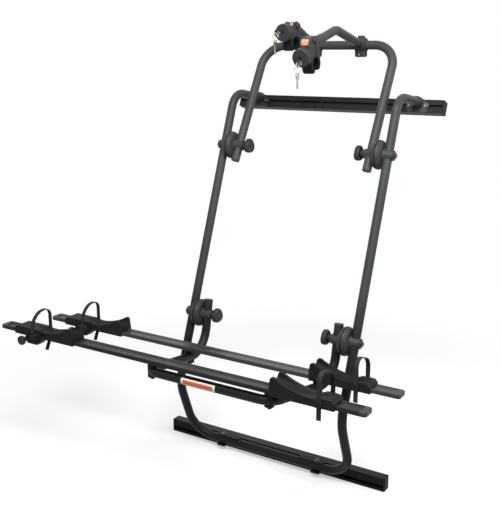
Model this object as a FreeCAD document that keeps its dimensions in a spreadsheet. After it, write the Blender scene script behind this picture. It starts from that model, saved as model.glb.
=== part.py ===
import FreeCAD, Part
import Sketcher
import math
import os
import re
from types import SimpleNamespace
from FreeCAD import Placement, Rotation, Vector

# Campervan bike rack for two bikes, in millimetres.
# Origin: centre of the lower wall rail's back face, which bears on the tailgate.
# +X to the right seen from behind the van, +Y towards the van, +Z up.
doc = FreeCAD.newDocument("BikeRack")

# Driving dimensions
driving = {
    "tubeDiameter": 28, "tubeWall": 2, "seatGap": 0.2, "runGap": 0.3, "pinGap": 0.05,
    "mainWidth": 584, "innerWidth": 470, "lean": 20.2, "hoopLean": 28.5, "armLean": 10, "armRise": 8.9,
    "lowPivotOut": 47, "lowPivotHeight": 437.5, "pivotSpacing": 565,
    "kinkHeight": 215.5, "kinkRadius": 120, "topBendHeight": 1137, "topBendRadius": 60, "topTubeFall": 8,
    "bottomTubeHeight": 8.5, "bottomBendRadius": 85,
    "hoopTopHeight": 1288.3, "hoopRadius": 75, "hoopStub": 52, "platformStub": 46,
    "crossTubeOut": 390, "crossTubeHeight": 361.5, "crossCorner": 212, "platformBend": 85, "crossBend": 45,
    "wallRailHeight": 43, "wallRailDepth": 34, "sealDepth": 3, "wallRailSkin": 2.4,
    "slotMouth": 9, "slotInside": 17, "slotDepth": 8, "slotLip": 2.5, "topSlotRise": 0,
    "bottomRailLength": 796, "topRailLength": 754, "wallCapLength": 5,
    "topRailBack": 406, "topRailHeight": 1089.6,
    "bracketWidth": 74, "bracketPlate": 4, "bracketCollar": 22, "bracketWall": 3,
    "clipSpacing": 352, "clipWidth": 30, "clipPlate": 3, "slotRise": -7.2, "mountBolt": 6,
    "bracketBolts": 54,
    "clampBarLength": 88, "clampBarWidth": 22, "clampBarPlace": 156, "clampBarOut": 44, "wallCapRound": 3,
    "bracketSlant": 16, "boltDome": 2,
    "discRadius": 44, "discRim": 14, "bossFoot": 21, "bossTip": 15, "bossReach": 5, "seamGap": 0.6,
    "shellSeat": 1.5,
    "knuckleBolt": 8, "headAcross": 13, "headThick": 5.5, "washerRadius": 10, "washerThick": 1.6,
    "knobRadius": 25, "knobLength": 17, "knobNeck": 11, "knobNeckLength": 11, "knobLobeOffset": 38,
    "knobRound": 5,
    "plugLength": 18, "plugHead": 2.5,
    "railLength": 1300, "railOffset": -162, "railWidth": 45, "railHeight": 12, "railSkin": 2.2, "railLip": 6,
    "railDish": 3, "railEdge": 2.5, "railCapLength": 18, "railCapRound": 9,
    "frontRailOut": 380.7, "frontRailTop": 400.8, "rearRailOut": 157.1, "rearRailTop": 366,
    "saddleWidth": 24, "saddleLength": 22, "saddleUnder": 4, "saddleBolt": 6, "saddleRound": 5,
    "frontSaddlePlace": 199,
    "holderSkirt": 4, "holderDrop": 15, "holderFloor": 4, "holderLip": 5, "holderPeak": 38, "holderBump": 12,
    "holderWall": 5, "leftHolderInner": -491, "leftStrap": -637, "leftHolderOuter": -742,
    "rightHolderInner": 211, "rightStrap": 361, "rightHolderOuter": 403, "rampLength": 110, "tailHeight": 7,
    "rampLean": 4, "rampFlat": 9, "rampCurve": 260,
    "strapWidth": 13, "strapThick": 2.4, "strapTop": 80, "strapBulge": 52, "strapTail": 48, "strapBend": 24,
    "archCrown": 71, "archReach": 18, "archShoulder": 50, "archShoulderOut": 42, "archTail": 64,
    "archTailOut": 6,
    "lockKnobRadius": 15, "lockKnobLength": 11, "lockBlockLow": 46, "lockBlockSlope": 22, "lockBlockEnd": 70,
    "longArmPlace": 114, "shortArmPlace": -47, "armTube": 26, "bushWall": 2.5, "bushLength": 36,
    "clampWall": 5, "clampLength": 32, "clampLug": 15, "clampSplit": 5, "clampBolt": 6,
    "longPeakReach": 183.1, "longPeakRise": 42.7, "longHeadTilt": 14.4, "shortHeadTilt": 0,
    "longHeadReach": 338, "longHeadRise": -23.4, "shortHeadReach": 156.1, "shortHeadRise": 35.7,
    "headWidth": 38, "headDepth": 18, "headTop": 46, "jawDrop": 50, "gripRadius": 15, "gripOut": 10,
    "gripDrop": 30,
    "padThick": 4, "hingePin": 6, "pinOut": 9, "pinDrop": 6, "shortHeadTop": 32, "headRound": 15,
    "rampEnd": 17, "bumpRise": 14, "wheelRadius": 350, "troughRadius": 18, "strapPlay": 0.15,
    "hingeGap": 0.1,
    "lockStem": 5, "lockKnobPlace": 57, "lockKnobDrop": 27, "lockNeckLength": 17, "clampLugThick": 9,
    "longTubeIn": 10.9, "longTubeUp": 25.1, "longArmBend": 60, "shortTubeIn": 14, "shortTubeUp": 12,
    "earThick": 6, "earRadius": 8.5, "socketLength": 50, "socketWall": 4.5, "socketLip": 1.2,
    "socketFit": 0.05, "jawGap": 2,
    "padAngle": 60, "keyBow": 20, "keyEye": 3.8, "keyThick": 2, "keyBlade": 6.6, "keyReach": 6,
    "keyLength": 26,
    "keyRing": 20, "keyRingWire": 1.6, "ringPlay": 0.3,
    "jawDepth": 36, "grip": 53, "gripLength": 30, "studDiameter": 8, "lockRadius": 5.5, "lockOffset": 14,
    "shortLockTurn": 85,
}
sheet = doc.addObject("Spreadsheet::Sheet", "Sizes")
for row, (word, number) in enumerate(driving.items(), start=1):
    sheet.set(f"A{row}", word)
    sheet.set(f"B{row}", str(number))
    sheet.setAlias(f"B{row}", word)
doc.recompute()
s = SimpleNamespace(**{word: float(sheet.get(word)) for word in driving})

tubeR = s.tubeDiameter / 2
mainX = s.mainWidth / 2
innerX = s.innerWidth / 2


# Small builders shared by the pieces
def inSheet(text):
    return re.sub(r"[A-Za-z]\w*",
                  lambda word: "Sizes." + word.group(0) if word.group(0) in driving else word.group(0),
                  text)


def bind(thing, **sizes):
    for name, text in sizes.items():
        thing.setExpression(name, inSheet(text))
    return thing


def lying(point, axis, turn=0):
    # primitives grow along +Z, so +Z is turned onto the wanted axis
    return Placement(Vector(*point), Rotation(Vector(0, 0, 1), Vector(*axis)) * Rotation(Vector(0, 0, 1),
                                                                                         turn))


def cylinder(name, radius, height, point, axis):
    made = bind(doc.addObject("Part::Cylinder", name), Radius=radius, Height=height)
    made.Placement = lying(point, axis)
    return made


def box(name, length, width, height, corner):
    made = bind(doc.addObject("Part::Box", name), Length=length, Width=width, Height=height)
    made.Placement.Base = Vector(*corner)
    return made


def hexagon(name, across, height, point, axis):
    made = bind(doc.addObject("Part::Prism", name), Circumradius=f"({across}) / sqrt(3)", Height=height)
    made.Polygon = 6
    made.Placement = lying(point, axis)
    return made


def cut(label, base, *tools):
    for number, tool in enumerate(tools, start=1):
        name = label if number == len(tools) else f"{label}Before{number}"
        made = doc.addObject("Part::Cut", name)
        made.Base = base
        made.Tool = tool
        base = made
    base.Label = label
    return base


def fuse(label, *pieces):
    made = doc.addObject("Part::MultiFuse", label)
    made.Shapes = list(pieces)
    made.Label = label
    return made


def group(label, *pieces):
    made = doc.addObject("Part::Compound", label)
    made.Links = list(pieces)
    made.Label = label
    return made


def mirrored(piece, name=None):
    made = doc.addObject("Part::Mirroring", name or piece.Name + "Left")
    made.Source = piece
    made.Normal = Vector(1, 0, 0)
    return made


def shaped(label, shape, place=None):
    made = doc.addObject("Part::Feature", label)
    made.Shape = shape
    if place:
        made.Placement = place
    made.Label = label
    return made


def filleted(name, piece, radius, wanted):
    # rounds the edges whose middle passes the wanted test
    doc.recompute()
    edges = []
    for number, edge in enumerate(piece.Shape.Edges, start=1):
        middle = edge.valueAt((edge.FirstParameter + edge.LastParameter) / 2)
        if wanted(middle, edge):
            edges.append((number, radius, radius))
    made = doc.addObject("Part::Fillet", name)
    made.Base = piece
    made.Edges = edges
    made.Label = name
    return made


def runsAlong(edge, axis):
    way = edge.tangentAt(edge.FirstParameter)
    return edge.Curve.TypeId == "Part::GeomLine" and abs(abs(way.dot(Vector(*axis))) - 1) < 1e-6


def bentWire(points, radii):
    # straight runs joined by tangent arcs, one radius for each inner point
    points = [Vector(*point) for point in points]
    edges = []
    start = points[0]
    for before, corner, after, radius in zip(points, points[1:], points[2:], radii):
        inward = (corner - before).normalize()
        outward = (after - corner).normalize()
        turn = inward.getAngle(outward)
        reach = radius * math.tan(turn / 2)
        first = corner - inward * reach
        last = corner + outward * reach
        bisector = (outward - inward).normalize()
        middle = corner + bisector * (radius / math.cos(turn / 2) - radius)
        edges.append(Part.LineSegment(start, first).toShape())
        edges.append(Part.Arc(first, middle, last).toShape())
        start = last
    edges.append(Part.LineSegment(start, points[-1]).toShape())
    return Part.Wire(edges)


def swept(name, path, radius, points):
    ring = bind(doc.addObject("Part::Circle", name + "Ring"), Radius=radius)
    ring.Placement = lying(points[0], Vector(*points[1]) - Vector(*points[0]))
    made = doc.addObject("Part::Sweep", name)
    made.Sections = [ring]
    made.Spine = (path, [f"Edge{number + 1}" for number in range(len(path.Shape.Edges))])
    made.Solid = True
    return made


def tube(label, points, radii, outside, wall, *holes):
    path = shaped(label + "Path", bentWire(points, radii))
    outer = swept(label + "Outer", path, f"({outside}) / 2", points)
    inner = swept(label + "Bore", path, f"({outside}) / 2 - {wall}", points)
    return cut(label, outer, inner, *holes)


def sizeOf(text):
    return float(doc.getObject("Sizes").evalExpression(inSheet(text)))


def outlineBody(label, points, length, plane="YZ_Plane"):
    # a closed outline padded both ways from an origin plane, every corner set from the sheet;
    # a third entry makes the side that leaves the corner an arc, and its sign gives the turn
    body = doc.addObject("PartDesign::Body", label)
    body.Label = label
    sketch = body.newObject("Sketcher::SketchObject", label + "Outline")
    origin = [item for item in body.Origin.OriginFeatures if item.Role == plane][0]
    sketch.AttachmentSupport = [(origin, "")]
    sketch.MapMode = "FlatFace"
    values = [Vector(sizeOf(point[0]), sizeOf(point[1]), 0) for point in points]
    starts = []
    ends = []
    radii = []
    for number, point in enumerate(points):
        here = values[number]
        there = values[(number + 1) % len(values)]
        turn = 0
        if len(point) == 2:
            sketch.addGeometry(Part.LineSegment(here, there))
        else:
            turn = sizeOf(point[2])
            chord = there - here
            side = Vector(-chord.y, chord.x, 0).normalize() * (-1 if turn > 0 else 1)
            sagitta = abs(turn) - math.sqrt(turn ** 2 - (chord.Length / 2) ** 2)
            sketch.addGeometry(Part.Arc(here, here + chord / 2 + side * sagitta, there))
            radii.append((number, f"abs({point[2]})", abs(turn)))
        # an arc always runs anticlockwise, so a clockwise one starts at its far corner
        starts.append(2 if turn < 0 else 1)
        ends.append(1 if turn < 0 else 2)
    for number in range(len(values)):
        after = (number + 1) % len(values)
        sketch.addConstraint(Sketcher.Constraint("Coincident", number, ends[number], after, starts[after]))
    for number, point in enumerate(points):
        for kind, text, value in (("DistanceX", point[0], values[number].x),
                                  ("DistanceY", point[1], values[number].y)):
            index = sketch.addConstraint(Sketcher.Constraint(kind, -1, 1, number, starts[number], value))
            sketch.setExpression(f"Constraints[{index}]", inSheet(text))
    for number, text, value in radii:
        index = sketch.addConstraint(Sketcher.Constraint("Radius", number, value))
        sketch.setExpression(f"Constraints[{index}]", inSheet(text))
    pad = body.newObject("PartDesign::Pad", label + "Pad")
    pad.Profile = sketch
    pad.Midplane = True
    bind(pad, Length=length)
    return body


# Main lines of the frame, worked out from the driving dimensions
lean = math.radians(s.lean)
hoopLean = math.radians(s.hoopLean)
armLean = math.radians(s.armLean)
rise = math.tan(math.radians(s.armRise))
lowPivot = (-s.lowPivotOut, s.lowPivotHeight)
highPivot = (lowPivot[0] + s.pivotSpacing * math.sin(lean), lowPivot[1] + s.pivotSpacing * math.cos(lean))
bottomTubeY = -s.wallRailDepth - tubeR


hoopTop = highPivot[0] + (s.hoopTopHeight - highPivot[1]) * math.tan(hoopLean)


def onLeg(height):
    return (lowPivot[0] + (height - lowPivot[1]) * math.tan(lean), height)


# Frame of the upper wall rail, which leans with the tailgate
topPlace = Placement(Vector(0, s.topRailBack, s.topRailHeight), Rotation(Vector(1, 0, 0), -s.lean))


def onTopRail(x, depth, height):
    return topPlace.multVec(Vector(x, -depth, height))


def bracketEnd():
    # where the bent-back tube meets the bracket plate on the rail's front face
    corner = onLeg(s.topBendHeight)
    fall = math.radians(s.topTubeFall)
    way = Vector(0, math.cos(fall), -math.sin(fall))
    normal = topPlace.Rotation.multVec(Vector(0, -1, 0))
    plate = onTopRail(mainX, s.wallRailDepth + s.bracketPlate, 0)
    start = Vector(mainX, *corner)
    reach = (plate - start).dot(normal) / way.dot(normal)
    return start + way * reach, way


# Main frame: one tube from bracket to bracket, round the bottom
def mainPoints():
    end, way = bracketEnd()
    half = [(end.x, end.y, end.z), (mainX, *onLeg(s.topBendHeight)), (mainX, *onLeg(s.kinkHeight)),
            (mainX, bottomTubeY, s.bottomTubeHeight)]
    return [(-x, y, z) for x, y, z in half] + half[::-1]


def crossHole(name, pivot, places):
    # the knuckle bolt goes right through each tube
    holes = []
    for side, x in enumerate(places):
        holes.append(cylinder(f"{name}{side}", "knuckleBolt / 2 + pinGap", "tubeDiameter + 4",
                              (x - tubeR - 2, *pivot), (1, 0, 0)))
    return holes


def mainFrame():
    holes = crossHole("mainLowHole", lowPivot, (-mainX, mainX)) + crossHole("mainHighHole", highPivot,
                                                                            (-mainX, mainX))
    for side in (-1, 1):
        holes.append(cylinder(f"clipHole{side + 1}", "mountBolt / 2 + pinGap", "tubeDiameter + 4",
                              (side * s.clipSpacing / 2, bottomTubeY, s.bottomTubeHeight - tubeR - 2),
                              (0, 0, 1)))
    radii = [s.topBendRadius, s.kinkRadius, s.bottomBendRadius, s.bottomBendRadius, s.kinkRadius,
             s.topBendRadius]
    return tube("main_frame", mainPoints(), radii, "tubeDiameter", "tubeWall", *holes)


# Wall rails: a hollow extrusion with a bolt slot in front and a groove for the seal behind
def wallRail(label, length, rise):
    solid = outlineBody(label + "Solid", [
        ("-sealDepth", "-wallRailHeight / 2"), ("-sealDepth", "wallRailHeight / 2"),
        ("-wallRailDepth", "wallRailHeight / 2"), ("-wallRailDepth", f"{rise} + slotMouth / 2"),
        ("-wallRailDepth + slotLip", f"{rise} + slotMouth / 2"),
        ("-wallRailDepth + slotLip", f"{rise} + slotInside / 2"),
        ("-wallRailDepth + slotDepth", f"{rise} + slotInside / 2"),
        ("-wallRailDepth + slotDepth", f"{rise} - slotInside / 2"),
        ("-wallRailDepth + slotLip", f"{rise} - slotInside / 2"),
        ("-wallRailDepth + slotLip", f"{rise} - slotMouth / 2"),
        ("-wallRailDepth", f"{rise} - slotMouth / 2"), ("-wallRailDepth", "-wallRailHeight / 2")],
        f"{length} - 2 * wallCapLength")
    chamber = outlineBody(label + "Chamber", [
        ("-sealDepth - wallRailSkin", "-wallRailHeight / 2 + wallRailSkin"),
        ("-sealDepth - wallRailSkin", "wallRailHeight / 2 - wallRailSkin"),
        ("-wallRailDepth + slotDepth + wallRailSkin", "wallRailHeight / 2 - wallRailSkin"),
        ("-wallRailDepth + slotDepth + wallRailSkin", "-wallRailHeight / 2 + wallRailSkin")],
        f"{length} + 4")
    return cut(label, solid, chamber)


def wallRails():
    low = wallRail("bottom_rail", "bottomRailLength", "slotRise")
    high = wallRail("top_rail", "topRailLength", "topSlotRise")
    high.Placement = topPlace
    seals = []
    for label, length, place in (("lowSeal", "bottomRailLength", Placement()),
                                 ("highSeal", "topRailLength", topPlace)):
        strip = outlineBody(label, [("-sealDepth", "-wallRailHeight / 2 + 3"),
                                    ("0", "-wallRailHeight / 2 + 6"),
                                    ("0", "wallRailHeight / 2 - 6"),
                                    ("-sealDepth", "wallRailHeight / 2 - 3")],
                            f"{length} - 2 * wallCapLength")
        strip.Placement = place
        seals.append(strip)
    caps = []
    for name, length, place in (("lowCap", s.bottomRailLength, Placement()),
                                ("highCap", s.topRailLength, topPlace)):
        for side in (-1, 1):
            cap = box(f"{name}{side + 1}", "wallCapLength", "wallRailDepth - sealDepth", "wallRailHeight",
                      (0, -s.wallRailDepth, -s.wallRailHeight / 2))
            start = length / 2 - s.wallCapLength if side > 0 else -length / 2
            cap.Placement = place * Placement(Vector(start, -s.wallRailDepth, -s.wallRailHeight / 2),
                                              Rotation())
            caps.append(filleted(f"{name}{side + 1}Round", cap, s.wallCapRound,
                                 lambda middle, edge, length=length: abs(middle.x) > length / 2 - 0.1))
    group("wall_rail_seals", *seals)
    group("wall_rail_caps", *caps)


# Brackets that hold the bent-back tube ends on the upper rail
def topBrackets():
    end, way = bracketEnd()
    plate = outlineBody("bracketPlate", [
        ("-bracketWidth / 2", "-wallRailHeight / 2"), ("bracketWidth / 2", "-wallRailHeight / 2"),
        ("bracketWidth / 2 - bracketSlant", "wallRailHeight / 2"),
        ("-bracketWidth / 2 + bracketSlant", "wallRailHeight / 2")],
        "bracketPlate", "XZ_Plane")
    plate.Placement = topPlace * Placement(Vector(mainX, -s.wallRailDepth - s.bracketPlate / 2, 0),
                                           Rotation())
    plateRound = filleted("bracketPlateRound", plate, s.bracketPlate * 1.5,
                          lambda middle, edge: edge.Length < s.bracketPlate + 0.01)
    collar = cylinder("bracketCollar", "tubeDiameter / 2 + bracketWall", "bracketCollar + bracketPlate",
                      tuple(end - way * s.bracketCollar), tuple(way))
    trim = box("bracketTrim", "bracketWidth + 20", "wallRailDepth", "wallRailHeight * 2", (0, 0, 0))
    trim.Placement = topPlace * Placement(
        Vector(mainX - s.bracketWidth / 2 - 10, -s.wallRailDepth - s.bracketPlate / 2, -s.wallRailHeight),
        Rotation())
    bore = cylinder("bracketBore", "tubeDiameter / 2", "bracketCollar + 20",
                    tuple(end - way * (s.bracketCollar + 20)), tuple(way))
    holes = []
    for side in (-1, 1):
        holes.append(cylinder(f"bracketHole{side + 1}", "mountBolt / 2 + pinGap", "bracketPlate + 4",
                              tuple(onTopRail(mainX + side * s.bracketBolts / 2,
                                              s.wallRailDepth + s.bracketPlate + 2,
                                              s.topSlotRise)),
                                              tuple(topPlace.Rotation.multVec(Vector(0, 1, 0)))))
    trimmed = cut("bracketTrimmed", collar, trim)
    welded = fuse("bracketWelded", plateRound, trimmed)
    bracket = cut("bracketRight", welded, bore, *holes)
    return group("top_brackets", bracket, mirrored(bracket))


# Clips whose feet sit in the lower rail's slot and carry the bottom tube, and the bolts of both rails
def wallFasteners():
    foot = "-wallRailDepth + slotLip + seatGap"
    clip = outlineBody("clipFoot", [
        ("-wallRailDepth - tubeDiameter - 4", "slotRise - clipPlate / 2"),
        (foot, "slotRise - clipPlate / 2"),
        (foot, "slotRise - slotInside / 2 + 1"), (f"{foot} + clipPlate", "slotRise - slotInside / 2 + 1"),
        (f"{foot} + clipPlate", "slotRise + slotInside / 2 - 1"), (foot, "slotRise + slotInside / 2 - 1"),
        (foot, "slotRise + clipPlate / 2"), ("-wallRailDepth - tubeDiameter - 4",
                                             "slotRise + clipPlate / 2")],
        "clipWidth")
    under = s.slotRise - s.clipPlate / 2
    hole = cylinder("clipFootHole", "mountBolt / 2 + pinGap", "clipPlate + 2", (0, bottomTubeY, under - 1),
                    (0, 0, 1))
    drilled = cut("clipDrilled", clip, hole)
    drilled.Placement.Base = Vector(s.clipSpacing / 2, 0, 0)
    seat = s.bottomTubeHeight + tubeR
    bar = box("clampBar", "clampBarLength", "clampBarWidth", "clipPlate",
              (s.clampBarPlace - s.clampBarLength / 2, -s.clampBarOut - s.clampBarWidth / 2, seat))
    barRound = filleted("clampBarRound", bar, s.clampBarWidth / 2 - 0.5, lambda middle,
                        edge: runsAlong(edge, (0, 0, 1)))
    barHole = cylinder("clampBarHole", "mountBolt / 2 + pinGap", "clipPlate + 2",
                       (s.clipSpacing / 2, bottomTubeY, seat - 1), (0, 0, 1))
    barOpen = cut("clampBarOpen", barRound, barHole)
    group("bottom_clips", drilled, mirrored(drilled), barOpen, mirrored(barOpen))
    bolts = []
    seat += s.clipPlate
    low = bolted("clipBolt", "headAcross - 3", "headThick - 1", "mountBolt / 2",
                 "2 * clipPlate + seatGap + tubeDiameter + headThick",
                 (s.clipSpacing / 2, bottomTubeY, under),
                 (0, 0, 1))
    nut = cylinder("clipNut", "headAcross / 2 - 1", "headThick",
                   (s.clipSpacing / 2, bottomTubeY, seat + s.washerThick),
                   (0, 0, 1))
    washer = cylinder("clipNutWasher", "washerRadius * 0.8", "washerThick",
                      (s.clipSpacing / 2, bottomTubeY, seat),
                      (0, 0, 1))
    nutDome = filleted("clipNutDome", nut, s.boltDome, lambda middle,
                       edge: middle.z > seat + s.washerThick + 1 and
                       edge.Curve.TypeId == "Part::GeomCircle")
    nutted = fuse("clipBolted", low, nutDome, washer)
    bolts += [nutted, mirrored(nutted)]
    inward = tuple(topPlace.Rotation.multVec(Vector(0, 1, 0)))
    for side in (-1, 1):
        x = mainX + side * s.bracketBolts / 2
        start = onTopRail(x, s.wallRailDepth + s.bracketPlate, s.topSlotRise)
        shank = bolted(f"bracketBolt{side + 1}", "headAcross - 3", "headThick - 1", "mountBolt / 2",
                       "bracketPlate + slotDepth - 1", tuple(start), inward)
        tee = box(f"bracketTee{side + 1}", "slotInside - 2", "slotDepth - slotLip - 1", "slotInside - 2",
                  (0, 0, 0))
        tee.Placement = topPlace * Placement(
            Vector(x - s.slotInside / 2 + 1, -s.wallRailDepth + s.slotLip + s.seatGap,
                   s.topSlotRise - s.slotInside / 2 + 1), Rotation())
        bolt = fuse(f"bracketBolted{side + 1}", shank, tee)
        bolts += [bolt, mirrored(bolt)]
    group("mounting_bolts", *bolts)


def bolted(name, across, thick, shank, length, point, axis):
    # hex head with a washer under it; the point is where the washer seats
    head = hexagon(name + "Head", across, thick, tuple(Vector(*point) - Vector(*axis) * s.washerThick),
                   tuple(-Vector(*axis)))
    washer = cylinder(name + "Washer", "washerRadius", "washerThick",
                      tuple(Vector(*point) - Vector(*axis) * s.washerThick), axis)
    rod = cylinder(name + "Rod", shank, length, tuple(point), axis)
    return fuse(name, head, washer, rod)


# Knuckles: two toothed friction shells clamped between the main tube and the inner tube
def shell(name, outward, tubeX, tubeWay, pivot):
    # a round shell with a conical saddle that wraps its tube, on the right-hand side
    seam = (mainX + innerX) / 2 + outward * s.seamGap / 2
    face = tubeX - outward * (tubeR - s.shellSeat)
    tip = tubeX + outward * (tubeR + s.bossReach)
    rim = s.discRim
    profile = [(seam, 0), (seam, s.discRadius)]
    points = [Vector(x, 0, radius) for x, radius in profile]
    middle = Vector(face + outward * (-rim * 0.3), 0, s.discRadius - rim * 0.3)
    edges = [Part.LineSegment(points[0], points[1]).toShape(),
             Part.LineSegment(points[1], Vector(face - outward * rim, 0, s.discRadius)).toShape(),
             Part.Arc(Vector(face - outward * rim, 0, s.discRadius), middle,
                      Vector(face, 0, s.discRadius - rim)).toShape(),
             Part.LineSegment(Vector(face, 0, s.discRadius - rim), Vector(face, 0, s.bossFoot)).toShape(),
             Part.LineSegment(Vector(face, 0, s.bossFoot), Vector(tip, 0, s.bossTip)).toShape(),
             Part.LineSegment(Vector(tip, 0, s.bossTip), Vector(tip, 0, 0)).toShape(),
             Part.LineSegment(Vector(tip, 0, 0), points[0]).toShape()]
    solid = Part.Face(Part.Wire(edges)).revolve(Vector(0, 0, 0), Vector(1, 0, 0), 360)
    solid.translate(Vector(0, *pivot))
    turned = shaped(name + "Turned", solid)
    way = Vector(0, *tubeWay)
    channel = cylinder(name + "Channel", "tubeDiameter / 2", "4 * discRadius",
                       tuple(Vector(tubeX, *pivot) - way * 2 * s.discRadius), tuple(way))
    hole = cylinder(name + "Hole", "knuckleBolt / 2 + pinGap", "80 + mainWidth / 2 - innerWidth / 2",
                    (innerX - 40, *pivot), (1, 0, 0))
    return cut(name, turned, channel, hole)


def knuckles():
    legWay = (math.sin(lean), math.cos(lean))
    outer = []
    for name, pivot in (("lowOuterShell", lowPivot), ("highOuterShell", highPivot)):
        piece = shell(name, 1, mainX, legWay, pivot)
        outer += [piece, mirrored(piece)]
    group("outer_shells", *outer)
    hoopShell = shell("hoopShell", -1, innerX, (math.sin(hoopLean), math.cos(hoopLean)), highPivot)
    group("hoop_shells", hoopShell, mirrored(hoopShell))
    armShell = shell("armShell", -1, innerX, (math.sin(armLean), math.cos(armLean)), lowPivot)
    group("platform_shells", armShell, mirrored(armShell))
    bolts = []
    seat = mainX + tubeR + s.bossReach
    far = innerX - tubeR - s.bossReach - s.runGap - s.knobNeckLength - s.knobLength
    for name, pivot in (("lowKnuckleBolt", lowPivot), ("highKnuckleBolt", highPivot)):
        bolt = bolted(name, "headAcross", "headThick", "knuckleBolt / 2", f"{seat - far + 1}",
                      (seat, *pivot), (-1, 0, 0))
        bolts += [bolt, mirrored(bolt)]
    group("knuckle_bolts", *bolts)


def knuckleKnob(label, side, pivot):
    # three-lobed hand knob on a round neck, turning on the knuckle bolt
    start = innerX - tubeR - s.bossReach - s.runGap
    neck = cylinder(label + "Neck", "knobNeck", "knobNeckLength + 2", (start, *pivot), (-1, 0, 0))
    head = cylinder(label + "Head", "knobRadius", "knobLength", (start - s.knobNeckLength, *pivot),
                    (-1, 0, 0))
    body = fuse(label + "Body", neck, head)
    rounded = filleted(label + "Round", body, s.knobRound, lambda middle,
                       edge: edge.Curve.TypeId == "Part::GeomCircle" and
                       abs(edge.Curve.Radius - s.knobRadius) < 0.1)
    hollows = []
    for number in range(3):
        angle = math.radians(120 * number + 30)
        place = (start - s.knobNeckLength + 1, pivot[0] + s.knobLobeOffset * math.cos(angle),
                 pivot[1] + s.knobLobeOffset * math.sin(angle))
        hollows.append(cylinder(f"{label}Hollow{number}", "knobLobeOffset - knobRadius * 0.62",
                                "knobLength + 4",
                                place, (-1, 0, 0)))
    bore = cylinder(label + "Bore", "knuckleBolt / 2 + pinGap", "knobNeckLength + knobLength + 4",
                    (start + 1, *pivot), (-1, 0, 0))
    knob = cut(label + "Right", rounded, *hollows, bore)
    if side < 0:
        knob = mirrored(knob, label + "Left")
    knob.Label = label
    return knob


# Upper hoop and platform frame, the two parts that tilt on the knuckles
def hoop():
    stub = s.hoopStub
    way = (math.sin(hoopLean), math.cos(hoopLean))
    end = (innerX, highPivot[0] - stub * way[0], highPivot[1] - stub * way[1])
    half = [end, (innerX, hoopTop, s.hoopTopHeight)]
    points = [(-x, y, z) for x, y, z in half] + half[::-1]
    made = tube("upper_hoop", points, [s.hoopRadius, s.hoopRadius], "tubeDiameter", "tubeWall",
                *crossHole("hoopHole", highPivot, (-innerX, innerX)))
    plugs("hoop_plugs", end, (0, -way[0], -way[1]))
    return made


def plugs(label, end, way):
    # push-in plastic plugs that close the tube ends
    stem = cylinder(label + "Stem", "tubeDiameter / 2 - tubeWall", "plugLength",
                    tuple(Vector(*end) - Vector(*way) * s.plugLength), way)
    rim = cylinder(label + "Rim", "tubeDiameter / 2", "plugHead", end, way)
    plug = fuse(label + "Right", stem, rim)
    group(label, plug, mirrored(plug))


def platformPoints():
    way = (math.sin(armLean), math.cos(armLean))
    end = (innerX, lowPivot[0] + s.platformStub * way[0], lowPivot[1] + s.platformStub * way[1])
    # the leg line meets the rising line of the arms
    drop = (lowPivot[1] - s.crossTubeHeight + rise * (lowPivot[0] + s.crossTubeOut)) / (way[1] + rise * way[0])
    corner = (innerX, lowPivot[0] - drop * way[0], lowPivot[1] - drop * way[1])
    front = (s.crossCorner, -s.crossTubeOut, s.crossTubeHeight)
    half = [end, corner, front]
    return [(-x, y, z) for x, y, z in half] + half[::-1], end, way


def sideTube(out):
    # x of the platform's right-hand side tube at a distance out from the van
    corner, front = platformPoints()[0][4:2:-1]
    return corner[0] + (front[0] - corner[0]) * (out + corner[1]) / (s.crossTubeOut + corner[1])


def platformFrame():
    points, end, way = platformPoints()
    radii = [s.platformBend, s.crossBend, s.crossBend, s.platformBend]
    made = tube("platform_frame", points, radii, "tubeDiameter", "tubeWall",
                *crossHole("platformHole", lowPivot, (-innerX, innerX)))
    plugs("platform_plugs", end, (0, way[0], way[1]))
    return made


# Bike rails: a flat hollow extrusion with a dished top, closed by rounded end caps
def bikeRail(label, out, top):
    half = "railWidth / 2"
    dish = "((railWidth / 2 - railLip) ^ 2 + railDish ^ 2) / (2 * railDish)"
    solid = outlineBody(label + "Solid", [
        (f"-{half}", "-railHeight"), (half, "-railHeight"), (half, "-railEdge", "railEdge"),
        (f"{half} - railEdge", "0"),
        (f"{half} - railLip", "0", f"-{dish}"), (f"-{half} + railLip", "0"),
        (f"-{half} + railEdge", "0", "railEdge"),
        (f"-{half}", "-railEdge")], "railLength - 2 * railCapLength")
    chamber = outlineBody(label + "Chamber", [
        (f"-{half} + railSkin", "-railHeight + railSkin"), (f"{half} - railSkin", "-railHeight + railSkin"),
        (f"{half} - railSkin", "-railDish - railSkin"), (f"-{half} + railSkin", "-railDish - railSkin")],
        "railLength")
    body = cut(label, solid, chamber)
    body.Placement.Base = Vector(s.railOffset, -out, top)
    return body


def railCaps():
    caps = []
    for name, out, top in (("front", s.frontRailOut, s.frontRailTop),
                           ("rear", s.rearRailOut, s.rearRailTop)):
        for side in (-1, 1):
            tip = s.railOffset + side * s.railLength / 2
            start = min(tip, tip - side * s.railCapLength)
            title = f"{name}RailCap{side + 1}"
            block = box(title, "railCapLength", "railWidth", "railHeight",
                        (start, -out - s.railWidth / 2, top - s.railHeight))
            rounded = filleted(title + "Round", block, s.railCapRound, lambda middle, edge, tip=tip:
                               abs(middle.x - tip) < 0.1 and runsAlong(edge, (0, 0, 1)))
            caps.append(filleted(title + "Soft", rounded, s.railEdge, lambda middle, edge, tip=tip, top=top:
                                 middle.z > top - 0.1 and abs(middle.x - tip) < s.railCapLength - 1))
    return group("rail_end_caps", *caps)


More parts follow.
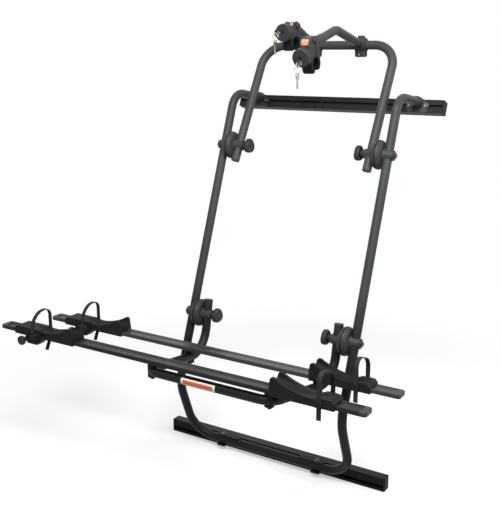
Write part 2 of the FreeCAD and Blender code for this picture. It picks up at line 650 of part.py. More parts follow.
# Saddles: split blocks that seat the rails on the platform tube
def saddles(platformOuter):
    uppers = []
    lowers = []
    bolts = []
    gap = s.seatGap
    for name, out, top in (("front", s.frontRailOut, s.frontRailTop),
                           ("rear", s.rearRailOut, s.rearRailTop)):
        middleX = s.frontSaddlePlace if name == "front" else sideTube(out)
        tubeZ = s.crossTubeHeight - rise * (s.crossTubeOut - out)
        bottom = top - s.railHeight
        y = -out
        for part, low, high, store in (("Upper", tubeZ + gap, bottom, uppers),
                                       ("Lower", tubeZ - tubeR - s.saddleUnder, tubeZ - gap, lowers)):
            block = box(f"{name}Saddle{part}", "saddleWidth", "saddleLength", f"{high - low}",
                        (middleX - s.saddleWidth / 2, y - s.saddleLength / 2, low))
            rounded = filleted(f"{name}Saddle{part}Round", block, s.saddleRound, lambda middle,
                               edge: runsAlong(edge, (0, 0, 1)))
            seated = cut(f"{name}Saddle{part}Seat", rounded, platformOuter)
            store += [seated, mirrored(seated)]
        socket = cylinder(f"{name}SaddleSocket", "saddleBolt / 2 + pinGap", "saddleBolt + 1",
                          (middleX, y, tubeZ - tubeR - s.saddleUnder - 0.5), (0, 0, 1))
        drilled = cut(f"{name}SaddleDrilled", lowers[-2], socket)
        lowers[-2:] = [drilled, mirrored(drilled)]
        bolt = bolted(f"{name}SaddleBolt", "headAcross - 3", "headThick - 1", "saddleBolt / 2",
                      "saddleUnder - 5 * seatGap",
                      (middleX, y, tubeZ - tubeR - s.saddleUnder), (0, 0, 1))
        bolts += [bolt, mirrored(bolt)]
    group("rail_saddles", *uppers)
    group("saddle_clamps", *lowers)
    return bolts


# Wheel holders: trays with raised ramps that slide along the bike rails
def holder(label, side, out, top, inner, strap, outer, front):
    length = f"abs({outer} - {inner})"
    place = f"abs({strap} - {inner})"
    half = "(railWidth / 2 + runGap + holderSkirt)"
    shape = outlineBody(label + "Side", [
        ("0", "-holderDrop"), ("0", "tailHeight"),
        ("rampEnd - rampFlat - rampLean", "holderPeak - rampLean"),
        ("rampEnd - rampFlat", "holderPeak"), ("rampEnd", "holderPeak - 1"),
        ("rampEnd + rampLean", "holderPeak - rampLean", "rampCurve"), ("rampLength", "tailHeight"),
        (f"{place} - bumpRise", "tailHeight"), (f"{place} - 4", "holderBump"),
        (f"{length} - 9", "holderBump"),
        (length, "tailHeight - 3"), (length, "-holderDrop")], f"2 * {half}", "XZ_Plane")
    # the tyre's own round leaves the trough, deepest beyond the ramp and rising to both ends
    trough = bind(doc.addObject("Part::Torus", label + "Trough"), Radius1="wheelRadius",
                  Radius2="troughRadius")
    trough.Placement = lying((s.rampLength - s.rampFlat, 0, s.holderFloor + s.wheelRadius + s.troughRadius),
                             (0, 1, 0))
    slot = outlineBody(label + "Slot", [
        ("-railWidth / 2 - runGap", "runGap"), ("-railWidth / 2 - runGap", "-railHeight - runGap"),
        ("-railWidth / 2 + holderLip", "-railHeight - runGap"),
        ("-railWidth / 2 + holderLip", "-holderDrop - 1"),
        ("railWidth / 2 - holderLip", "-holderDrop - 1"),
        ("railWidth / 2 - holderLip", "-railHeight - runGap"),
        ("railWidth / 2 + runGap", "-railHeight - runGap"), ("railWidth / 2 + runGap", "runGap")],
        f"2 * {length} + 40")
    tray = cut(label + "Tray", shape, trough, slot)
    here = sizeOf(place)
    face = sizeOf(half)
    pieces = [tray]
    # guide for the strap's free end on one skirt, anchor for its other end on the other skirt
    guide = box(label + "Guide", "strapWidth + 7", "strapThick + 3.6", "holderDrop",
                (here - s.strapWidth / 2 - 3.5, -face - s.strapThick - 3.6 if front < 0 else face,
                 -s.holderDrop + 2))
    guideSlot = box(label + "GuideSlot", "strapWidth + 2 * strapPlay", "strapThick + 2 * strapPlay",
                    "holderDrop + 4",
                    (here - s.strapWidth / 2 - s.strapPlay,
                     front * (face + s.strapPlay * 2 + s.strapThick / 2) - s.strapThick / 2 - s.strapPlay,
                     -s.holderDrop))
    pieces.append(cut(label + "GuideOpen", guide, guideSlot))
    reach = s.strapBulge - face
    anchor = box(label + "Anchor", "strapWidth + 9", f"{reach} + 3.5", "13",
                 (here - s.strapWidth / 2 - 4.5, face if front < 0 else -face - reach - 3.5, -12))
    anchorRound = filleted(label + "AnchorRound", anchor, 4, lambda middle,
                           edge: runsAlong(edge, (1, 0, 0)) and
                           abs(middle.y) > face + 5)
    anchorSlot = box(label + "AnchorSlot", "strapWidth + 2 * strapPlay", "strapThick + 2 * strapPlay", "12",
                     (here - s.strapWidth / 2 - s.strapPlay,
                      -front * s.strapBulge - s.strapThick / 2 - s.strapPlay, -5))
    pieces.append(cut(label + "AnchorOpen", anchorRound, anchorSlot))
    if side < 0:
        block = outlineBody(label + "Block", [
            (f"{place} - lockBlockSlope", "-railHeight - runGap"),
            (f"{place} + lockBlockSlope", "-lockBlockLow"),
            (f"{place} + lockBlockEnd - 8", "-lockBlockLow"),
            (f"{place} + lockBlockEnd", "-lockBlockLow + 12"),
            (f"{place} + lockBlockEnd", "-railHeight - runGap")], "railWidth - 9", "XZ_Plane")
        blockRound = filleted(label + "BlockRound", block, 5, lambda middle, edge: abs(edge.tangentAt(
            edge.FirstParameter).y) < 0.01 and middle.z < -s.railHeight - 1)
        pin = cylinder(label + "PinHole", "lockStem + pinGap", "railWidth / 2",
                       (here + s.lockKnobPlace, -s.railWidth / 2 - 1, -s.lockKnobDrop), (0, 1, 0))
        pieces.append(cut(label + "BlockOpen", blockRound, pin))
    made = fuse(label + "Made", *pieces)
    band = strapBand(label + "Strap", here, face, front, side < 0)
    for thing, name in ((made, label), (band, label.replace("wheel_holder", "wheel_strap"))):
        if side < 0:
            thing = mirrored(thing, name)
        thing.Placement = Placement(Vector(sizeOf(inner), -out, top), Rotation())
        thing.Label = name
    return made


def strapBand(name, here, face, front, arched):
    # a flexible band over the wheel: free end through the guide, up, over and down to the anchor
    guideY = front * (face + s.strapPlay * 2 + s.strapThick / 2)
    farY = -front * s.strapBulge
    if arched:
        # the left bands stand up in an even arch and their tails lean in under the rail
        points = [(here, front * s.archTailOut, -s.archTail), (here, guideY, -s.holderDrop - 2),
                  (here, guideY, s.strapTop - 4), (here, -front * s.archReach, s.archCrown),
                  (here, -front * s.archShoulderOut, s.archShoulder), (here, farY, s.strapBend * 0.75),
                  (here, farY, -4)]
        radii = [s.strapBend / 2, s.strapBend] + 3 * [s.strapBend * 1.6]
    else:
        points = [(here, guideY, -s.strapTail), (here, guideY, s.strapTop + 7),
                  (here, farY, s.strapTop - 22),
                  (here, farY, -4)]
        radii = [22, 38]
    path = shaped(name + "Path", bentWire(points, radii))
    section = bind(doc.addObject("Part::Plane", name + "Section"), Length="strapWidth", Width="strapThick")
    start, after = Vector(*points[0]), Vector(*points[1])
    section.Placement = Placement(start, Rotation(Vector(0, 0, 1), after - start)) * Placement(
        Vector(-s.strapWidth / 2, -s.strapThick / 2, 0), Rotation())
    made = doc.addObject("Part::Sweep", name)
    made.Sections = [section]
    made.Spine = (path, [f"Edge{number + 1}" for number in range(len(path.Shape.Edges))])
    made.Solid = True
    return made


def lockKnob(label, out, top):
    # a ribbed hand knob whose stem runs into the clamp block under the rail
    x = s.leftStrap - s.lockKnobPlace
    face = -out - s.railWidth / 2
    stem = cylinder(label + "Stem", "lockStem", "lockNeckLength + 14", (x, face + 14, top - s.lockKnobDrop),
                    (0, -1, 0))
    neck = cylinder(label + "Neck", "lockStem + 3", "lockNeckLength",
                    (x, face + 0.5 - s.runGap, top - s.lockKnobDrop), (0, -1, 0))
    head = cylinder(label + "Head", "lockKnobRadius", "lockKnobLength",
                    (x, face + 0.5 - s.runGap - s.lockNeckLength, top - s.lockKnobDrop), (0, -1, 0))
    rounded = filleted(label + "Round", head, 3, lambda middle,
                       edge: edge.Curve.TypeId == "Part::GeomCircle")
    return fuse(label, stem, neck, rounded)


# Bike arms: a sleeve on the hoop, a split clamp with a tube, and a locking jaw at the end
def arm(name, x, points, radii, head, tilt, lockTurn, top):
    axis = (hoopTop, s.hoopTopHeight)
    inside = tubeR + s.hingeGap
    sleeve = cylinder(name + "Sleeve", "tubeDiameter / 2 + hingeGap + bushWall", "bushLength",
                      (x - s.bushLength / 2, *axis), (1, 0, 0))
    bore = cylinder(name + "SleeveBore", "tubeDiameter / 2 + hingeGap", "bushLength + 2",
                    (x - s.bushLength / 2 - 1, *axis), (1, 0, 0))
    cut(name + "_bush", sleeve, bore)
    ringIn = "tubeDiameter / 2 + 2 * hingeGap + bushWall"
    outer = inside + s.bushWall + s.hingeGap + s.clampWall
    ring = cylinder(name + "Ring", ringIn + " + clampWall", "clampLength", (x - s.clampLength / 2, *axis),
                    (1, 0, 0))
    lugs = box(name + "Lugs", "clampLength", "2 * clampLugThick + clampSplit", f"clampLug + {outer}",
               (x - s.clampLength / 2, axis[0] - s.clampLugThick - s.clampSplit / 2,
                axis[1] - outer - s.clampLug))
    lugsRound = filleted(name + "LugsRound", lugs, 6, lambda middle, edge: runsAlong(edge, (0, 1, 0)) and
                         middle.z < axis[1] - outer)
    ear = box(name + "Ear", "clampLength * 0.6", "clampLug", f"clampLug * 0.5 + {outer}",
              (x - s.clampLength * 0.3, axis[0] - s.clampLug / 2, axis[1]))
    earRound = filleted(name + "EarRound", ear, 3, lambda middle, edge: runsAlong(edge, (0, 1, 0)) and
                        middle.z > axis[1] + outer)
    ringBore = cylinder(name + "RingBore", ringIn, "clampLength + 2", (x - s.clampLength / 2 - 1, *axis),
                        (1, 0, 0))
    split = box(name + "Split", "clampLength + 2", "clampSplit", f"clampLug + {outer} + 2",
                (x - s.clampLength / 2 - 1, axis[0] - s.clampSplit / 2, axis[1] - outer - s.clampLug - 1))
    boltZ = axis[1] - outer - s.clampLug / 2
    boltHole = cylinder(name + "BoltHole", "clampBolt / 2 + pinGap", "2 * clampLugThick + clampSplit + 2",
                        (x, axis[0] - s.clampLugThick - s.clampSplit / 2 - 1, boltZ), (0, 1, 0))
    whole = fuse(name + "RingWhole", ring, lugsRound, earRound)
    cut(name + "_clamp", whole, ringBore, split, boltHole)
    boltFrom = axis[0] - s.clampLugThick - s.clampSplit / 2
    boltHead = cylinder(name + "BoltHead", "clampBolt * 0.85", "clampBolt * 0.6", (x, boltFrom, boltZ),
                        (0, -1, 0))
    boltRod = cylinder(name + "BoltRod", "clampBolt / 2", "2 * clampLugThick + clampSplit + clampBolt",
                       (x, boltFrom, boltZ), (0, 1, 0))
    boltNut = hexagon(name + "BoltNut", "clampBolt * 1.6", "clampBolt * 0.8",
                      (x, axis[0] + s.clampLugThick + s.clampSplit / 2, boltZ), (0, 1, 0))
    clampBolt = fuse(name + "ClampBolt", boltHead, boltRod, boltNut)

    path = [(x, *axis)] + [(x, point.x, point.y) for point in points]
    around = cylinder(name + "Around", f"{ringIn} + clampWall", "clampLength + 20",
                      (x - s.clampLength / 2 - 10, *axis), (1, 0, 0))
    tube(name + "_tube", path, radii, "armTube", "tubeWall", around)

    place = Placement(Vector(x, head.x, head.y), Rotation(Vector(1, 0, 0), tilt))
    pinHeight = sizeOf(f"{top} - pinDrop")
    headPieces(name, place, path, lockTurn, top, pinHeight)
    pinShape = cylinder(name + "Pin", "hingePin / 2", "headWidth + 1", (0, 0, 0), (1, 0, 0))
    pinShape.Placement = place * Placement(Vector(-s.headWidth / 2 - 0.5, -s.pinOut, pinHeight),
                                           Rotation(Vector(0, 1, 0), 90))
    group(name + "_bolts", clampBolt, pinShape)


def headPieces(name, place, path, lockTurn, top, pinHeight):
    half = "headWidth / 2"
    grip = (-s.gripOut, -s.gripDrop)
    around = cylinder(name + "GripSpace", "gripRadius + padThick", "headWidth + 4",
                      (-s.headWidth / 2 - 2, *grip), (1, 0, 0))
    rear = outlineBody(name + "Rear", [
        ("0", "-jawDrop"), ("headDepth * 0.5", "-jawDrop"), ("headDepth", "-jawDrop + 14"),
        ("headDepth", f"{top} - headRound", "headRound"), ("headDepth - headRound", top), ("0", top)],
        "headWidth")
    rearRound = filleted(name + "RearRound", rear, 5, lambda middle, edge: middle.y > 1 and
                         abs(abs(middle.x) - s.headWidth / 2) < 0.1)
    ears = []
    for side in (-1, 1):
        low = s.headWidth / 2 - s.earThick if side > 0 else -s.headWidth / 2
        ears.append(cylinder(f"{name}Ear{side + 1}", "earRadius", "earThick", (low, -s.pinOut, pinHeight),
                             (1, 0, 0)))
        ears.append(box(f"{name}EarFoot{side + 1}", "earThick", "pinOut + 2", "earRadius",
                        (low, -s.pinOut, pinHeight - s.earRadius * 0.4)))
    end = Vector(*path[-1])
    way = (end - Vector(*path[-2])).normalize()
    local = place.inverse()
    socketFrom = local.multVec(end - way * s.socketLength)
    socketWay = local.Rotation.multVec(way)
    socket = bind(doc.addObject("Part::Cone", name + "Socket"), Radius1="armTube / 2 + socketLip",
                  Radius2="armTube / 2 + socketWall", Height="socketLength + 12")
    socket.Placement = lying(socketFrom, socketWay)
    trimFront = box(name + "SocketTrim", "headWidth + 20", "60", "120", (-s.headWidth / 2 - 10, -60, -60))
    socketCut = cut(name + "SocketCut", socket, trimFront)
    socketBore = cylinder(name + "SocketBore", "armTube / 2 + socketFit", "socketLength + 4",
                          tuple(socketFrom - socketWay * 4), tuple(socketWay))
    body = fuse(name + "RearWhole", rearRound, *ears, socketCut)
    pinBore = cylinder(name + "PinBore", "hingePin / 2 + pinGap", "headWidth + 10",
                       (-s.headWidth / 2 - 5, -s.pinOut, pinHeight), (1, 0, 0))
    studSlot = box(name + "StudSlot", "studDiameter + 1", "headDepth + 4", "studDiameter + 5",
                   (-s.studDiameter / 2 - 0.5, -2, -s.studDiameter / 2 - 4.5))
    rearBody = cut(name + "RearCut", body, around, socketBore, pinBore, studSlot)
    rearBody.Label = name + "RearBody"
    placeCopy(name + "_head", rearBody, place)

    jaw = outlineBody(name + "Front", [
        ("-jawGap", top), ("-jawDepth + headRound", top, "headRound"), ("-jawDepth", f"{top} - headRound"),
        ("-jawDepth", "-jawDrop + 12"), ("-jawDepth + 3", "-jawDrop"), ("-jawDepth + 8", "-jawDrop - 4"),
        ("-gripOut - gripRadius / 2", "-jawDrop"), ("-jawGap", "-jawDrop * 0.9")], "headWidth - 4")
    jawRound = filleted(name + "FrontRound", jaw, 5, lambda middle, edge: middle.y < -s.jawDepth + 9 and
                        abs(abs(middle.x) - s.headWidth / 2 + 2) < 0.1)
    notches = []
    for side in (-1, 1):
        low = s.headWidth / 2 - s.earThick - s.runGap if side > 0 else -s.headWidth / 2 - 2
        notches.append(cylinder(f"{name}Notch{side + 1}", "earRadius + runGap", "earThick + 2 + runGap",
                                (low, -s.pinOut, pinHeight), (1, 0, 0)))
        notches.append(box(f"{name}NotchFoot{side + 1}", "earThick + 2 + runGap", "pinOut", "4 * earRadius",
                           (low, -s.pinOut, pinHeight - s.earRadius * 2)))
    mouth = box(name + "Mouth", "headWidth + 4", "gripRadius + 4", "jawDrop",
                (-s.headWidth / 2 - 2, -s.gripOut - s.gripRadius / 2, -s.gripDrop - s.jawDrop))
    studHole = cylinder(name + "StudHole", "studDiameter / 2 + pinGap", "jawDepth + 4",
                        (0, -s.jawDepth - 2, 0), (0, 1, 0))
    around2 = cylinder(name + "JawSpace", "gripRadius + padThick", "headWidth + 4",
                       (-s.headWidth / 2 - 2, *grip), (1, 0, 0))
    pinBore2 = cylinder(name + "JawPinBore", "hingePin / 2 + pinGap", "headWidth + 10",
                        (-s.headWidth / 2 - 5, -s.pinOut, pinHeight), (1, 0, 0))
    jawBody = cut(name + "FrontCut", jawRound, *notches, mouth, studHole, around2, pinBore2)
    jawBody.Label = name + "FrontBody"
    placeCopy(name + "_jaw", jawBody, place)

    for label, side, width in ((name + "_head_pad", 1, "headWidth - 4"),
                               (name + "_jaw_pad", -1, "headWidth - 4")):
        outerPad = cylinder(label + "Outer", "gripRadius + padThick", width, (0, 0, 0), (1, 0, 0))
        outerPad.Angle = 2 * s.padAngle
        start = -s.padAngle if side > 0 else 180 - s.padAngle
        wide = sizeOf(width)
        turned = Placement(Vector(-wide / 2, *grip), Rotation(Vector(1, 0, 0), start) *
                           Rotation(Vector(0, 1, 0), Vector(0, 0, 1), Vector(1, 0, 0), "ZXY"))
        outerPad.Placement = turned
        innerPad = cylinder(label + "Inner", "gripRadius", width + " + 2", (0, 0, 0), (1, 0, 0))
        innerPad.Placement = Placement(Vector(-wide / 2 - 1, *grip),
                                       Rotation(Vector(0, 0, 1), Vector(1, 0, 0)))
        pad = cut(label + "Pad", outerPad, innerPad)
        pad.Label = label + "Local"
        placeCopy(label, pad, place)

    knobFace = -s.jawDepth - 1
    disc = cylinder(name + "KnobDisc", "grip / 2", "gripLength", (0, knobFace, 0), (0, -1, 0))
    discRound = filleted(name + "KnobRound", disc, 4, lambda middle,
                         edge: edge.Curve.TypeId == "Part::GeomCircle")
    flutes = []
    for number in range(8):
        angle = 2 * math.pi * (number + 0.5) / 8
        flutes.append(cylinder(f"{name}Flute{number}", "grip * 0.09", "gripLength * 0.55",
                               (s.grip * 0.57 * math.cos(angle), knobFace + 1,
                                s.grip * 0.57 * math.sin(angle)),
                               (0, -1, 0)))
    recess = cylinder(name + "KnobRecess", "studDiameter * 0.6", "5", (0, knobFace - s.gripLength + 5, 0),
                      (0, -1, 0))
    turn = math.radians(lockTurn)
    lockX = -s.lockOffset * math.sin(turn)
    lockZ = -s.lockOffset * math.cos(turn)
    face = knobFace - s.gripLength
    lockHole = cylinder(name + "LockHole", "lockRadius + pinGap", "18", (lockX, face + 18, lockZ),
                        (0, -1, 0))
    fluted = cut(name + "KnobFluted", discRound, *flutes, recess, lockHole)
    stud = cylinder(name + "Stud", "studDiameter / 2", "jawDepth + headDepth * 0.55", (0, knobFace - 1, 0),
                    (0, 1, 0))
    knob = fuse(name + "KnobWhole", fluted, stud)
    placeCopy(name + "_knob", knob, place)

    barrel = cylinder(name + "Barrel", "lockRadius", "18.8", (lockX, face + 18, lockZ), (0, -1, 0))
    keyway = box(name + "Keyway", "keyThick + 0.2", "9", "keyBlade + 0.4",
                 (lockX - s.keyThick / 2 - 0.1, face - 2, lockZ - s.keyBlade / 2 - 0.2))
    placeCopy(name + "_lock", cut(name + "BarrelCut", barrel, keyway), place)

    # the key stands in the lock, with its bow clear of the face
    bowY = face - s.keyReach - s.keyBow * 0.42
    shank = box(name + "KeyShank", "keyThick", "keyReach + 6", "keyBlade",
                (lockX - s.keyThick / 2, face - s.keyReach, lockZ - s.keyBlade / 2))
    bow = cylinder(name + "KeyBow", "keyBow / 2", "keyThick", (lockX - s.keyThick / 2, bowY, lockZ),
                   (1, 0, 0))
    eyeY = bowY - s.keyBow * 0.2
    bowHole = cylinder(name + "KeyBowHole", "keyEye", "keyThick + 2",
                       (lockX - s.keyThick / 2 - 1, eyeY, lockZ),
                       (1, 0, 0))
    placeCopy(name + "_key", cut(name + "KeyCut", fuse(name + "KeyWhole", shank, bow), bowHole), place)

    # the ring hangs in the key's eye and carries the spare key, straight down
    wire = s.keyRingWire / 2
    loop = place.multVec(Vector(lockX, eyeY, lockZ)) - Vector(0, 0, s.keyEye - wire - s.ringPlay)
    ringTurn = bind(doc.addObject("Part::Torus", name + "RingTurn"), Radius1="keyRing / 2",
                    Radius2="keyRingWire / 2")
    ringTurn.Placement = Placement(loop - Vector(0, 0, s.keyRing / 2), Rotation(Vector(1, 0, 0), 90))
    spareEye = loop - Vector(0, 0, s.keyRing + s.keyEye - wire)
    spareBow = cylinder(name + "SpareBow", "keyBow / 2", "keyThick",
                        tuple(spareEye + Vector(-s.keyThick / 2, 0, -s.keyBow * 0.2)), (1, 0, 0))
    spareHole = cylinder(name + "SpareHole", "keyEye", "keyThick + 2",
                         tuple(spareEye + Vector(-s.keyThick / 2 - 1, 0, 0)), (1, 0, 0))
    spareShank = box(name + "SpareShank", "keyThick", "keyBlade", "keyLength",
                     tuple(spareEye + Vector(-s.keyThick / 2, -s.keyBlade / 2,
                                             -s.keyBow * 0.6 - s.keyLength)))
    spare = cut(name + "SpareCut", fuse(name + "SpareWhole", spareBow, spareShank), spareHole)
    group(name + "_spare_key", ringTurn, spare)


def placeCopy(label, thing, place):
    # a link-like copy of a piece built about the origin, set at its place on the arm
    made = doc.addObject("Part::Compound", label)
    made.Links = [thing]
    made.Placement = place
    made.Label = label
    return made


def main():
    mainFrame()
    wallRails()
    topBrackets()
    wallFasteners()
    knuckles()
    for label, side, pivot in (("knob_lower_left", -1, lowPivot), ("knob_lower_right", 1, lowPivot),
                               ("knob_upper_left", -1, highPivot), ("knob_upper_right", 1, highPivot)):
        knuckleKnob(label, side, pivot)
    hoop()
    platformFrame()
    bikeRail("front_rail", s.frontRailOut, s.frontRailTop)
    bikeRail("rear_rail", s.rearRailOut, s.rearRailTop)
    railCaps()
    group("saddle_bolts", *saddles(doc.getObject("platform_frameOuter")))
    wheelHolders()
    bikeArms()


def wheelHolders():
    for row, out, top in (("front", s.frontRailOut, s.frontRailTop), ("rear", s.rearRailOut, s.rearRailTop)):
        holder(f"wheel_holder_{row}_left", -1, out, top, "leftHolderInner", "leftStrap", "leftHolderOuter",
               1)
        holder(f"wheel_holder_{row}_right", 1, out, top, "rightHolderInner", "rightStrap",
               "rightHolderOuter", -1)
        lockKnob(f"holder_knob_{row}", out, top)


def bikeArms():
    # an arm's points are set from its turning axis, and its tube ends in the socket of its head
    axis = Vector(hoopTop, s.hoopTopHeight, 0)
    longHead = axis + Vector(-s.longHeadReach, s.longHeadRise, 0)
    shortHead = axis + Vector(-s.shortHeadReach, s.shortHeadRise, 0)
    peak = axis + Vector(-s.longPeakReach, s.longPeakRise, 0)
    longEnd = longHead + Vector(s.longTubeIn, s.longTubeUp, 0)
    shortEnd = shortHead + Vector(s.shortTubeIn, s.shortTubeUp, 0)
    arm("long_arm", s.longArmPlace, [peak, longEnd], [s.longArmBend], longHead, s.longHeadTilt, 0, "headTop")
    arm("short_arm", s.shortArmPlace, [shortEnd], [], shortHead, s.shortHeadTilt, s.shortLockTurn,
        "shortHeadTop")


main()
doc.recompute()
nodes = [item for item in doc.Objects if re.fullmatch(r"[a-z]+(_[a-z]+)+", item.Label)]
os.makedirs("parts", exist_ok=True)
failed = [item.Name for item in doc.Objects if "Invalid" in item.State or "Error" in item.State]
if failed:
    raise SystemExit(f"failed: {failed}")
for node in nodes:
    if node.Shape.isNull() or not node.Shape.isValid():
        raise SystemExit(f"{node.Label} has no valid shape")
    node.Shape.exportStep(f"parts/{node.Label}.step")
    print(node.Label, len(node.Shape.Solids), "solids")
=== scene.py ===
from math import atan2, cos, pi, radians

import bmesh
import bpy
from mathutils import Matrix, Vector


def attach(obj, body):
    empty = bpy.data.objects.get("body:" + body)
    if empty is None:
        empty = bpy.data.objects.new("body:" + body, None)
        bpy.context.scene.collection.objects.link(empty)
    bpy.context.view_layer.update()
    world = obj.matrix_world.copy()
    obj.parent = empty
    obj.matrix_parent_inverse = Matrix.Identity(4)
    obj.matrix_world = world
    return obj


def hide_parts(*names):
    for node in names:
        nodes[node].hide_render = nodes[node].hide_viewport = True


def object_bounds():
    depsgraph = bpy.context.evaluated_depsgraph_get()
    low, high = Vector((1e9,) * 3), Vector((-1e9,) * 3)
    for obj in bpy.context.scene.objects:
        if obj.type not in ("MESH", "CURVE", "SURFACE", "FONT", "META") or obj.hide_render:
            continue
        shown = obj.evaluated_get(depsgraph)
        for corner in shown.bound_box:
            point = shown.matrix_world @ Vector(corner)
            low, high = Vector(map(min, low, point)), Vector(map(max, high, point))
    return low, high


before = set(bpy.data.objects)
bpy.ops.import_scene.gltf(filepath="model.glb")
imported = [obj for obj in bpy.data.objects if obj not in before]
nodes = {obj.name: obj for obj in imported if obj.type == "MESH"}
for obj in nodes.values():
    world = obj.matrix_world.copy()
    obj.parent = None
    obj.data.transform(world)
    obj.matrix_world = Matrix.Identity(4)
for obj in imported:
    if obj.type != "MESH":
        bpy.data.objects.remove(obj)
cadBox = [list(corner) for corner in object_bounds()]
print("frame loaded:", len(nodes), "nodes")

# camera, at the photograph's angle
view = {
    "place": (1.2324, -2.1284, 1.2579),
    "pitchDown": 13.731,
    "turn": 31.991,
    "focalPixels": 816.3,
    "imageHeight": 509,
    "sensorHeight": 36,
    "nearest": 0.05,
    "farthest": 60,
}
cameraData = bpy.data.cameras.new("camera")
cameraData.sensor_fit = "VERTICAL"
cameraData.sensor_height = view["sensorHeight"]
cameraData.lens = view["focalPixels"] * view["sensorHeight"] / view["imageHeight"]
cameraData.clip_start = view["nearest"]
cameraData.clip_end = view["farthest"]
cameraObject = bpy.data.objects.new("camera", cameraData)
cameraObject.location = view["place"]
cameraObject.rotation_euler = (radians(90 - view["pitchDown"]), 0, radians(view["turn"]))
bpy.context.scene.collection.objects.link(cameraObject)
bpy.context.scene.camera = cameraObject
bpy.context.scene.view_settings.view_transform = "Standard"
print("camera set")

# studio: white paper floor that melts into a white surround, soft lamps
studio = {
    "floorSize": 30,
    "floorDrop": 0.002,
    "paper": 0.5,
    "paperLift": 0.48,
    "fadeFrom": 0.8,
    "fadeTo": 1.7,
    "surround": 0.2,
    "lamps": [
        {"name": "overheadPanel", "place": (0.6, -1.1, 2.35), "aim": (0, 0, 1.1),
         "size": 1.2, "watts": 84},
        {"name": "leftPanel", "place": (-2.6, -1.6, 2.3), "aim": (0, 0, 1.1),
         "size": 1.4, "watts": 10},
        {"name": "rightPanel", "place": (2.8, -0.6, 2.4), "aim": (0, 0, 1.2),
         "size": 1.2, "watts": 32},
        {"name": "backPanel", "place": (1.9, 1.1, 1.5), "aim": (0.35, -0.2, 0.45),
         "size": 0.8, "watts": 14},
        {"name": "rearPanel", "place": (-1.8, 2.8, 2.2), "aim": (0, 0, 0.7),
         "size": 1.6, "watts": 12},
    ],
}


def placed(data, name, body=None):
    piece = bpy.data.objects.new(name, data)
    bpy.context.scene.collection.objects.link(piece)
    if body:
        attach(piece, body)
    return piece


def finishedPiece(mesh, name, material=None, body=None):
    data = bpy.data.meshes.new(name)
    mesh.to_mesh(data)
    mesh.free()
    if material:
        data.materials.append(material)
    return placed(data, name, body)


def addNode(tree, kind, values=None, **traits):
    node = tree.nodes.new(kind)
    for trait, value in traits.items():
        setattr(node, trait, value)
    for socket, value in (values or {}).items():
        node.inputs[socket].default_value = value
    return node


def connect(tree, *links):
    for source, target in links:
        tree.links.new(source, target)


def lampAt(lamp):
    light = bpy.data.lights.new(lamp["name"], "AREA")
    light.shape = "SQUARE"
    light.size = lamp["size"]
    light.energy = lamp["watts"]
    post = placed(light, lamp["name"])
    post.location = lamp["place"]
    away = Vector(lamp["place"]) - Vector(lamp["aim"])
    post.rotation_euler = away.to_track_quat("Z", "Y").to_euler()


def seenDirectly(tree):
    # 1 for camera, mirror and glass rays, 0 for the rays that light the rack
    path = addNode(tree, "ShaderNodeLightPath")
    mirror = addNode(tree, "ShaderNodeMath", operation="MAXIMUM")
    seen = addNode(tree, "ShaderNodeMath", operation="MAXIMUM")
    connect(tree, (path.outputs["Is Glossy Ray"], mirror.inputs[0]),
            (path.outputs["Is Transmission Ray"], mirror.inputs[1]),
            (path.outputs["Is Camera Ray"], seen.inputs[0]),
            (mirror.outputs[0], seen.inputs[1]))
    return seen.outputs[0]


def makeFloor():
    mesh = bmesh.new()
    bmesh.ops.create_grid(mesh, x_segments=1, y_segments=1, size=studio["floorSize"] / 2)
    bmesh.ops.translate(mesh, verts=mesh.verts, vec=(0, 0, cadBox[0][2] - studio["floorDrop"]))
    floor = finishedPiece(mesh, "studioFloor")
    paper = bpy.data.materials.new("studioPaper")
    paper.use_nodes = True
    tree = paper.node_tree
    shader = tree.nodes["Principled BSDF"]
    shader.inputs["Base Color"].default_value = (*[studio["paper"]] * 3, 1)
    shader.inputs["Roughness"].default_value = 1
    shader.inputs["Specular IOR Level"].default_value = 0
    shader.inputs["Emission Color"].default_value = (1, 1, 1, 1)
    seen = seenDirectly(tree)
    lift = addNode(tree, "ShaderNodeMath", {1: studio["paperLift"]}, operation="MULTIPLY")
    glow = addNode(tree, "ShaderNodeEmission")
    level = addNode(tree, "ShaderNodeMapRange", {"To Min": studio["surround"]})
    spot = addNode(tree, "ShaderNodeNewGeometry")
    away = addNode(tree, "ShaderNodeVectorMath", operation="LENGTH")
    fade = addNode(tree, "ShaderNodeMapRange",
                   {"From Min": studio["fadeFrom"], "From Max": studio["fadeTo"]},
                   interpolation_type="SMOOTHSTEP")
    mix = addNode(tree, "ShaderNodeMixShader")
    connect(tree, (seen, lift.inputs[0]),
            (lift.outputs[0], shader.inputs["Emission Strength"]),
            (seen, level.inputs["Value"]),
            (level.outputs[0], glow.inputs["Strength"]),
            (spot.outputs["Position"], away.inputs[0]),
            (away.outputs["Value"], fade.inputs["Value"]),
            (fade.outputs[0], mix.inputs["Fac"]),
            (shader.outputs[0], mix.inputs[1]),
            (glow.outputs[0], mix.inputs[2]),
            (mix.outputs[0], tree.nodes["Material Output"].inputs["Surface"]))
    floor.data.materials.append(paper)


def makeSurround():
    world = bpy.data.worlds.new("surround")
    bpy.context.scene.world = world
    world.use_nodes = True
    tree = world.node_tree
    backdrop = tree.nodes["Background"]
    backdrop.inputs["Color"].default_value = (1, 1, 1, 1)
    level = addNode(tree, "ShaderNodeMapRange", {"To Min": studio["surround"]})
    connect(tree, (seenDirectly(tree), level.inputs["Value"]),
            (level.outputs[0], backdrop.inputs["Strength"]))


makeFloor()
makeSurround()
for lamp in studio["lamps"]:
    lampAt(lamp)
print("studio lit")

